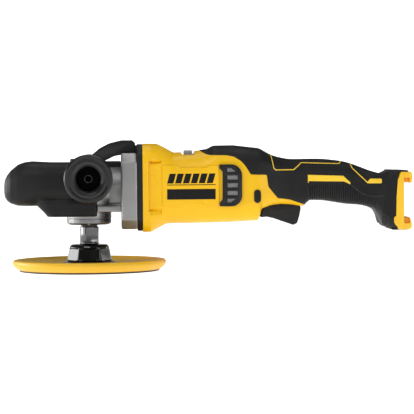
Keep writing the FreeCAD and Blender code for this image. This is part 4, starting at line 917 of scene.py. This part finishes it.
def lock_button():
    """Pill-shaped button with five fine grooves."""
    middle, size = (LOCK[0] + LOCK[1]) / 2, LOCK[1] - LOCK[0]
    face = LOCK[0][1]
    pill = slab("trigger_lock_button", pill_outline(middle[0], middle[2], size[0], size[2]), face,
                LOCK[1][1])
    bevel(pill, 0.7)
    carve(pill, [slab("groove", box_outline(middle[0] - 2.2, middle[0] + 2.2, z - 0.35, z + 0.35, 0.2),
                      face, face + 1) for z in middle[2] + 1.8 * np.arange(-2, 3)])
    dress(pill, "button_plastic", "lock_slider")


def speed_dial():
    """Ribbed thumb wheel."""
    low, high = DIAL
    _, middle_y, middle_z = (low + high) / 2
    radius, length = (high[2] - low[2]) / 2, high[0] - low[0]
    ridges, steps, ridge_height = 22, 8, 0.9
    angles = np.linspace(0, 2 * math.pi, ridges * steps, endpoint=False)
    hollow = 1 - (0.5 + 0.5 * np.cos(ridges * angles)) ** 0.5
    # place along the wheel, distance in from the rim, share of the ridges' height
    front = [(0, radius - 2, 0), (0, 0.9, 0.3), (0.25, 0.45, 0.6), (0.9, 0.05, 1)]
    rear = [(length - along, inset, relief) for along, inset, relief in reversed(front)]
    rings = []
    for along, inset, relief in front + rear:
        y, z, x = circle(radius - inset - ridge_height * relief * hollow, low[0] + along, angles).T
        rings.append(np.stack((x, middle_y + y, middle_z + z), 1))
    dress(tube_solid("speed_dial", rings), "dial_plastic", "dial", crease=50)


def trigger():
    """Paddle with a hooked toe and rounded edges."""
    (front, left, low), (rear, right, high) = TRIGGER
    outline = rounded([
        (front - 0.6, low + 9.4, 1.5), (front + 7, low + 10.2, 6), (front + 15, low + 8.4, 8),
        (front + 22, low + 5.8, 8), (front + 32, low + 2.4, 6), (rear - 9, low + 0.2, 3),
        (rear - 4, low + 2.2, 3), (rear - 1.6, low + 10, 8), (rear + 0.4, low + 20, 4),
        (rear - 1, high - 8.2, 3), (front + 24, high - 5.4, 6), (front + 12, high - 2.4, 4),
        (front + 6, high, 2), (front + 3, high - 3, 1.5), (front + 2, low + 20, 6)], steps=5)
    paddle = bevel(slab("trigger", outline, left, right), 2.2, 4, 50)
    dress(paddle, "trigger_plastic", "trigger_paddle", crease=50)


# ---------------------------------------------------------------- battery foot

def battery_receiver():
    """Yellow foot plate: a hook across its top and bottom, cheeks beside the rubber."""
    (front, left, low), (rear, right, high) = RECEIVER
    back, tip = front + 6.5, rear - 3.5
    side_view = rounded([
        (front - 0.5, low, 2), (rear - 4, low, 3), (rear - 1.4, low + 2.5, 3),
        (rear - 1.4, low + 8, 3), (rear - 4, low + 15, 2), (rear - 4, high - 14.5),
        (rear - 1.4, high - 13, 2), (rear - 0.4, high - 8, 3), (rear - 0.8, high, 2),
        (front + 3, high, 3), (front - 0.5, high - 12, 8)], steps=5)
    plate = bevel(slab("battery_receiver", side_view, left, right), 1.1, 3, 50)
    gap = slab("tool", box_outline(back, tip, low + 7.2, high - 6.6, 1.2), left - 5, right + 5)
    mouth = box_tool((back + 0.01, left - 5, low + 14.6), (rear + 5, right + 5, high - 12.6))
    window = box_tool((front - 6, *TERMINAL_WINDOW[0][1:]), (rear, *TERMINAL_WINDOW[1][1:]))
    rails = [box_tool((back - 3, side * 25 - 3, 60), (back + 2, side * 25 + 3, high - 12))
             for side in (LEFT, RIGHT)]
    carve(plate, [gap, mouth, window] + rails)
    cheek = rounded([
        (back, low + 1.2), (back, high), (front + 3.4, high, 1.5), (front - 0.6, high - 9, 12),
        (front - 2.2, high - 28, 20), (front - 2.8, low + 16, 1), (front - 5.4, low + 14.5, 1.5),
        (front - 5.2, low + 9, 3), (front - 3.6, low + 5.8, 3), (front + 1, low + 1.2, 3)], steps=5)
    cheeks = [bevel(slab("cheek", cheek, side * 35, side * 38.7), 0.8, 3, 50)
              for side in (LEFT, RIGHT)]
    dress(join("battery_receiver", [plate] + cheeks), "receiver_plastic", crease=45)
    # orange lips filling the hook recesses: painted shade of the yellow plate
    lips = [slab("lip", box_outline(back - 1, tip + 1, *heights, 1), left + 3, right - 3)
            for heights in ((low + 6.5, low + 14), (high - 12.2, high - 6))]
    dress(join("receiver_lips", [bevel(lip, 0.6, 2) for lip in lips]), "receiver_lip")
    top, bottom = high - 0.2, low - 0.6
    caps = [[(front - 8, top - 1.4), (rear - 3.4, top, 0.5), (rear - 5, top + 2.2, 1.5),
             (front - 8, top + 2.9, 1)],
            [(front - 8, bottom + 2), (front - 6, bottom, 1), (rear - 6, bottom, 1),
             (rear - 3.6, bottom + 1.8)]]
    caps = [slab("cap", rounded(outline), -31, 31) for outline in caps]
    dress(join("foot_caps", [bevel(cap, 0.7, 2, 50) for cap in caps]), "grip_rubber")


# ---------------------------------------------------------------- pad, hub, spindle and cap

def backing_pad():
    """Cast pad with a rolled rim and a shallow dish, and the hook disc under it."""
    radius, top = PAD[1][0], PAD[1][2]
    foot, face = HUB[1][0], PAD[0][2]
    profile = [(0, face), (radius - 7.2, face, 1), (radius - 2.6, face + 3.5, 3),
               (radius, top - 4, 3), (radius - 1.4, top - 0.5, 2), (radius - 6, top, 4),
               (radius - 13, top - 2.6, 8), (foot + 16, top - 5.2, 20), (foot + 4, top - 5.8, 2),
               (foot + 3.2, top - 4.8, 0.5), (foot + 0.3, top - 4.8, 0.4), (foot + 0.3, top - 8.5),
               (0, top - 8.5)]
    dress(lathe("backing_pad", profile, segments=180, steps=6), "urethane", "output")
    low, high = span("hook_face_disc")
    disc = [(0, low[2]), (high[0] - 0.3, low[2], 0.4), (high[0], high[2] - 0.4, 0.4),
            (high[0] - 0.4, high[2]), (0, high[2])]
    dress(lathe("hook_face_disc", disc, segments=180), "hook_fabric", "output")


def pad_hub():
    """Glossy threaded hub: six flat panels between ribs, on a round foot."""
    low, high = HUB
    foot, base, top = high[0], low[2], high[2]
    flank = [(base, foot), (base + 5, foot), (base + 5.9, foot - 0.5), (base + 6.6, foot - 2.6),
             (base + 8, foot - 3.9), (top - 6, foot - 6.3), (top - 3.2, foot - 7),
             (top - 1.4, foot - 7.9), (top - 0.4, foot - 9.2), (top, foot - 11)]
    ribs, steps, rib_height = 6, 32, 2.9
    angles = np.linspace(0, 2 * math.pi, ribs * steps, endpoint=False)
    off_panel = (angles + math.pi / ribs) % (2 * math.pi / ribs) - math.pi / ribs
    from_middle = math.pi / ribs - np.abs(off_panel)
    rings = [circle(7, base, angles)]
    for z in resample([(z, 0) for z, _ in flank], 0.6)[:, 0]:
        plain = float(np.interp(z, *zip(*flank)))
        flat = np.minimum(plain, (plain - rib_height) / np.cos(from_middle))
        share = float(between(z, base + 8, top - 5.2, 1.4))
        rings.append(circle(plain + (flat - plain) * share, z, angles))
    bore = SPINDLE[1][0] + 0.25
    rings += [circle(r, z, angles) for r, z in ((bore + 0.6, top), (bore, top - 0.6), (bore, top - 3))]
    dress(tube_solid("pad_hub", rings), "hub_plastic", "output", crease=50)


def spindle():
    """Polished spindle with wrench flats and a relief groove at each end of them."""
    low, high = SPINDLE
    radius, cap_low, top = high[0], CAP[0][2], HUB[1][2]
    profile = [(0, low[2]), (6.5, low[2]), (6.95, low[2] + 0.6), (6.95, top), (radius - 0.8, top),
               (radius, top + 0.8), (radius, top + 2.2), (radius - 0.6, top + 2.5),
               (radius, top + 2.8), (radius, cap_low - 3), (radius - 1.4, cap_low - 2.6),
               (radius - 1.4, cap_low - 0.5), (9.2, cap_low), (9.2, cap_low + 4),
               (7.5, cap_low + 4), (7.5, AXIS_HEIGHT - 7.5), (5, AXIS_HEIGHT - 7.5),
               (5, high[2] - 7), (4, high[2] - 7), (4, high[2] - 0.5), (3.5, high[2]), (0, high[2])]
    shaft = lathe("spindle", profile)
    flats = []
    for turn in (-68, 112):
        out = np.array((math.cos(math.radians(turn)), math.sin(math.radians(turn))))
        along = np.array((-out[1], out[0]))
        corners = [out * u + along * v for u, v in ((8.5, -15), (20, -15), (20, 15), (8.5, 15))]
        flats.append(slab("tool", corners, top + 3.2, cap_low - 5, "z"))
    carve(shaft, flats)
    dress(bevel(shaft, 0.25, 2, 30), "polished_steel", "output", crease=30)


def bearing_cap():
    """Turned cap with four screw holes."""
    low, high = CAP
    radius, base, top, seat = high[0], low[2], high[2], 17.5
    profile = [(9.8, base + 4), (9.8, base + 1.2), (12.6, base + 1.2), (13.2, base, 0.3),
               (radius - 2, base, 0.8), (radius - 0.2, base + 1.8, 0.8), (radius - 0.2, base + 6),
               (radius - 0.5, base + 6.3), (radius - 0.5, base + 6.9), (radius, base + 7.2, 0.2),
               (radius, top), (seat, top), (seat, base + 4)]
    cap = lathe("bearing_cap", profile, closed=True)
    reach = (radius + seat) / 2
    carve(cap, [rod(3, base - 1, base + 3.1, segments=24,
                    centre=(reach * math.cos(angle), reach * math.sin(angle), 0))
                for angle in np.arange(4) * math.pi / 2])
    dress(cap, "machined_cap", crease=30)


# ---------------------------------------------------------------- gear case, baffle and arch

def octagon(half_y, low, high, cut, radius):
    """Rectangle with its corners cut off."""
    return rounded([
        (-half_y + cut, low, radius), (half_y - cut, low, radius), (half_y, low + cut, radius),
        (half_y, high - cut, radius), (half_y - cut, high, radius), (-half_y + cut, high, radius),
        (-half_y, high - cut, radius), (-half_y, low + cut, radius)])


def flange_spots():
    """Axis (y, z) of each flange screw."""
    points = node_points("flange_screws")
    middle, reach = (points.min(0) + points.max(0)) / 2, (points.max(0) - points.min(0)) / 2 - 4
    return [(middle[1] + a * reach[1], middle[2] + b * reach[2]) for a in (-1, 1) for b in (-1, 1)]


def gear_case():
    """Cast case with softened corners and a crisp machined flange."""
    front, rear, half = 37.7, CASE[1][0], CASE[1][1]
    low = CAP[1][2]
    ledge_top = low + 7.4
    head = lathe("head", [(0, low), (HEAD_RADIUS, low), (HEAD_RADIUS, HEAD_TOP, 3), (0, HEAD_TOP)])
    neck = rod(NECK_RADIUS, 0, front + 1, **ON_NECK)
    ledge = slab("ledge", box_outline(10, front + 1, -34, 34, 1), low, ledge_top, "z")
    bosses = [rod(BOSS_RADIUS, 0, BOSS_END, axis=axis, **AT_HANDLE) for axis in ("y", "-y")]
    body = melt(join("gear_case", [head, neck, ledge] + bosses), 0.9, 3)
    holes = [rod(4, 29, 50, axis=axis, segments=32, **AT_HANDLE) for axis in ("y", "-y")]
    hollow = lathe("tool", [(0, low - 2), (15, low - 2), (15, ledge_top), (26.5, ledge_top),
                            (26.5, 103), (0, 103)], segments=48)
    pockets = [slab("tool", box_outline(24, front - 0.5, ledge_top + 1.5, 96.5, 1.5), side * 22,
                    side * 40) for side in (LEFT, RIGHT)]
    carve(body, holes + [hollow] + pockets)
    centre = CASE[0][2] + half
    flange = slab("flange", octagon(half, centre - half, centre + half, 11, 3), front, rear, "x")
    bevel(flange, 2.2, 3, 50)
    recesses = [rod(5.2, 20, front + 6, segments=32, centre=(0, y, z), axis="x")
                for y, z in flange_spots()]
    carve(flange, recesses + [rod(23, front - 1, 60, segments=48, **ON_MOTOR)])
    dress(join("gear_case", [body, flange]), "cast_case", crease=35)


def baffle_ring():
    """Plate between case and housing, with a spigot round the motor shaft and a lug above."""
    low, high = BAFFLE
    front, bore = CASE[1][0], 11
    plate = slab("baffle_ring", octagon(high[1], low[2], high[2], 13, 4), front, high[0], "x")
    bevel(plate, 0.9, 2, 50)
    spigot = lathe("spigot", [(bore, low[0]), (14, low[0], 0.5), (14, front + 1), (bore, front + 1)],
                   closed=True, **ON_MOTOR)
    carve(plate, [rod(bore, 40, 80, **ON_MOTOR)])
    lug = slab("lug", box_outline(-22, 22, CASE[1][2] + 0.3, high[2] - 1.4, 2), low[0] + 1.6,
               front + 1, "x")
    dress(join("baffle_ring", [plate, spigot, lug]), "baffle_plastic")


def bumper_arch():
    """Rubber bow from the cover up to the flange, with soft edges."""
    low, high = ARCH
    rear, top = high[0], high[2]
    outline = rounded([
        (low[0], low[2] + 0.3, 1), (20, low[2] + 1.6, 12), (30, top - 18.4, 14),
        (40, top - 16.8, 10), (rear, top - 16.2, 1), (rear, top - 3.2, 2),
        (rear - 3.4, top, 3), (38, top, 20), (24, top - 3.4, 20), (13, top - 9, 20),
        (4, top - 16.6, 10), (low[0], top - 20.5, 2)], steps=6)
    bow = bevel(slab("bumper_arch", outline, low[1], high[1]), 3.4, 4, 50)
    dress(bow, "cover_rubber", crease=55)


def handle_collars():
    """Turned collars with a wide rim and a step; inside, a toothed socket and the M8 thread."""
    tooth_count, turns, pitch = 12, 9, 1.5
    for name, side in SIDES.items():
        low, high = span("handle_collar_" + name)
        rim = (high[0] - low[0]) / 2 - 1.1
        root, face = sorted((abs(low[1]), abs(high[1])))
        place = {"axis": OUTWARD[side], **AT_HANDLE}
        profile = [
            (BOSS_RADIUS, root), (21.7, root), (22.7, face - 10, 2), (rim - 2.4, face - 8, 1.5),
            (rim, face - 5.8, 1.5), (rim, face - 1.8, 1.4), (rim - 1.8, face, 1.2),
            (rim - 4.6, face - 0.1, 0.8), (rim - 5.6, face - 1.9, 0.6), (19.6, face - 1.5, 1.2),
            (17, face - 2.2, 1.5), (14.6, face - 4.4, 1), (14, face - 8, 0.5),
            (14, BOSS_END), (BOSS_RADIUS, BOSS_END)]
        collar = lathe("handle_collar_" + name, profile, closed=True, segments=128, **place)
        dress(collar, "collar_plastic", crease=35)
        # floor disc, teeth and thread are near-black: painted shade for the deep socket
        parts = [rod(13.9, BOSS_END + 0.1, BOSS_END + 2, bore=4.3, **place)]
        for index in range(tooth_count):
            angle = 2 * math.pi * (index + 0.5) / tooth_count
            x, z = 13.6 * math.cos(angle), HANDLE_HEIGHT + 13.6 * math.sin(angle)
            foot = BOSS_END + 1.8
            tooth = [(0, foot), (1.2, foot), (1.2, face - 9, 0.5), (0, face - 8.6)]
            parts.append(lathe("tooth", tooth, segments=16, centre=(x, 0, z), axis=OUTWARD[side]))
        thread = [(4.05, 29.2), (3.2, 29.2)]
        for along in 30 + pitch * np.arange(turns):
            thread += [(3.2, along), (3.7, along + pitch / 2)]
        thread += [(3.4, BOSS_END), (4.05, BOSS_END)]
        parts.append(lathe("thread", thread, closed=True, segments=32, **place))
        parts.append(rod(3.9, 29.1, 30, segments=32, **place))
        dress(join("handle_socket_" + name, parts), "socket_black", crease=35,
              slot="collar_plastic")


# ---------------------------------------------------------------- rubber cover

# x, underside, top, half width, corner radius
COVER_STATIONS = [
    (-98, 91, 102, 14, 5), (-97, 86.5, 107.5, 20, 9), (-94.5, 82.6, 112.5, 26, 13),
    (-90, 79.6, 118, 30.5, 16), (-82, 77, 124.6, 34, 19), (-74, 76.6, 127.6, 35.6, 20),
    (-66, 76.6, 128.4, 36, 20), (-45, 77, 127.2, 36, 20), (-28, 77, 127, 36, 19),
    (9.7, 77, 127.4, 36, 18)]
# height, front end, half width, corner radius
SKIRT_STATIONS = [(84, -64, 34.5, 16), (79, -61, 35.4, 16), (75, -58, 35.2, 15), (70, -52.6, 35, 14),
                  (66.5, -49.6, 34.6, 13), (64, -47.8, 33.6, 12)]
COVER_FRONT, COVER_REAR = COVER_STATIONS[0][0], COVER_STATIONS[-1][0]


def cover_loft(gap=0.0, front=None):
    """Palm grip through its stations; with a gap and a front end, the hollow inside it."""
    stations = np.array(COVER_STATIONS, float)
    x = np.unique(np.concatenate((np.linspace(COVER_FRONT, -80, 19),
                                  np.linspace(-80, COVER_REAR, 46))))
    rings = []
    for here in x:
        low, high, half, radius = (np.interp(here, stations[:, 0], column)
                                   for column in stations.T[1:])
        outline = box_outline(gap - half, half - gap, low + gap, high - gap, max(radius - gap, 1), 10)
        rings.append(np.column_stack((np.full(len(outline), here), outline)))
    rings = np.array(rings)
    if front is not None:
        rings = rings[(x > front) & (x < -2)]
    return tube_solid("cover", rings)


def gear_case_cover():
    """Thick rubber boot: palm grip, skirt, and the strip that runs back over the neck."""
    rings = []
    for z, front, half, radius in SKIRT_STATIONS:
        outline = rounded([(COVER_REAR, -half, 3), (COVER_REAR, half, 3), (front, half, radius),
                           (front, -half, radius)], steps=8)
        rings.append(np.column_stack((outline, np.full(len(outline), z))))
    skirt = tube_solid("skirt", rings)
    strip = slab("strip", box_outline(-17, 17, 117, COVER[1][2] - 0.6, 2), 6, COVER[1][0], "x")
    boot = melt(join("gear_case_cover", [cover_loft(), skirt, strip]), 0.85, 8, 0.6)
    middle = (BUTTON[0] + BUTTON[1]) / 2
    head = rod(HEAD_RADIUS + 0.2, 50, HEAD_TOP + 0.2)
    neck = rod(NECK_RADIUS + 0.1, 0, 60, **ON_NECK)
    bosses = rod(BOSS_RADIUS + 0.1, -60, 60, axis="y", **AT_HANDLE)
    hole = rod(8.5, 110, 140, centre=(middle[0], 0, 0))
    carve(boot, [head, neck, bosses, hole, cover_loft(4, front=-93)])
    dress(boot, "cover_rubber", crease=50)


def release_button():
    """Round button with a dished crown; the well in its foot leaves room for the spring."""
    (_, _, foot), (_, _, top) = BUTTON
    middle, well = (BUTTON[0] + BUTTON[1]) / 2, 3.2
    profile = [(0, foot + well), (5, foot + well), (5, foot), (6, foot), (6, foot + 3.5),
               (8, foot + 3.5), (8, top - 1.2, 1), (6.6, top, 0.6), (5.2, top - 0.5, 0.8),
               (0, top - 0.9)]
    button = lathe("spindle_release_button", profile, segments=64, centre=(middle[0], 0, 0))
    dress(button, "button_plastic", "spindle_release")


# ---------------------------------------------------------------- pieces kept from the CAD model

def paint_cad_nodes():
    """Pieces whose shape is already final keep their mesh and take the detailed materials."""
    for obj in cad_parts.values():
        for slot in obj.material_slots:
            name = slot.material.name.split(".")[0]
            if name in PAINTS:
                slot.material = PAINTS[name]


# ---------------------------------------------------------------- floor, light and camera

# name, place, width, height (all in metres) and power in watts
LAMPS = [
    ("key", (-0.35, -1.15, 1.35), 0.9, 0.5, 8), ("top", (0.2, 0.1, 1.4), 1.3, 0.3, 5),
    ("left_panel", (-1.6, -0.25, 0.3), 1.5, 0.6, 8),
    ("left_strip", (-1.0, 0.35, 0.16), 0.9, 0.45, 6.5),
    ("right_front", (1.5, -1.2, 0.45), 0.7, 0.5, 5), ("right_strip", (1.2, 0.8, 0.35), 0.12, 0.6, 2)]
WORLD_LIGHT = 0.12


def glowing(name, glow):
    """Matt white sheet that looks evenly white and lights the scene only by glow."""
    paint = Paint(name, (0.8, 0.8, 0.8), 0.8)
    paint.vary(paint.noise(3, 2), 0.05)
    seen = paint.node("ShaderNodeLightPath")["Is Camera Ray"]
    paint.linked["Emission Strength"] = paint.ramp(seen, start=glow)
    return paint.done(Emission_Color=(1, 1, 1, 1))


def backdrop():
    """Pale floor and, far behind it, a low wall all round."""
    level = span("hook_face_disc")[0][2] - 0.2
    reach, height = 8000, 2400
    floor = lathe("floor", [(0, level), (reach, level)], segments=64)
    wall = lathe("wall", [(reach - 10, level - 10), (reach - 10, level + height)], segments=64)
    for sheet, glow in ((floor, 0.75), (wall, 0.08)):
        sheet.data.materials.append(glowing(sheet.name + "_sheet", glow))


def studio():
    """Backdrop, faint light from all round and the lamps."""
    backdrop()
    world = bpy.data.worlds.new("studio")
    world.use_nodes = True
    background = world.node_tree.nodes["Background"].inputs
    background[0].default_value = (1, 1, 1, 1)
    background[1].default_value = WORLD_LIGHT
    bpy.context.scene.world = world
    aim = Vector((0.138, 0, 0.08))
    for name, spot, width, height, power in LAMPS:
        lamp = bpy.data.lights.new(name, "AREA")
        lamp.shape = "RECTANGLE"
        lamp.size, lamp.size_y, lamp.energy = width, height, power
        holder = placed(name, lamp)
        holder.location = spot
        holder.rotation_euler = (aim - Vector(spot)).to_track_quat("-Z", "Y").to_euler()


def camera():
    """Level with the handle collars and in front of the pad, turned to take in the whole tool."""
    place = Vector((0.03, -2.5, 0.145))
    target = Vector((0.138, 0, 0.073))
    width, roll = 0.4850, math.radians(0.5)
    back = (place - target).normalized()
    level = Vector((0, 0, 1)).cross(back).normalized()
    up = back.cross(level)
    right = level * math.cos(roll) - up * math.sin(roll)
    above = level * math.sin(roll) + up * math.cos(roll)
    lens = bpy.data.cameras.new("camera")
    lens.sensor_width = 36
    lens.lens = lens.sensor_width * (place - target).length / width
    lens.clip_end = 200
    holder = placed("camera", lens)
    turn = Matrix((right, above, back)).transposed().to_4x4()
    holder.matrix_world = Matrix.Translation(place) @ turn
    bpy.context.scene.camera = holder
    bpy.context.scene.view_settings.view_transform = "Standard"


for build in (backing_pad, pad_hub, spindle, bearing_cap, gear_case, baffle_ring, bumper_arch,
              handle_collars, gear_case_cover, release_button, housing, label_plates, vents,
              lock_button, speed_dial, trigger, battery_receiver, paint_cad_nodes, studio, camera):
    build()
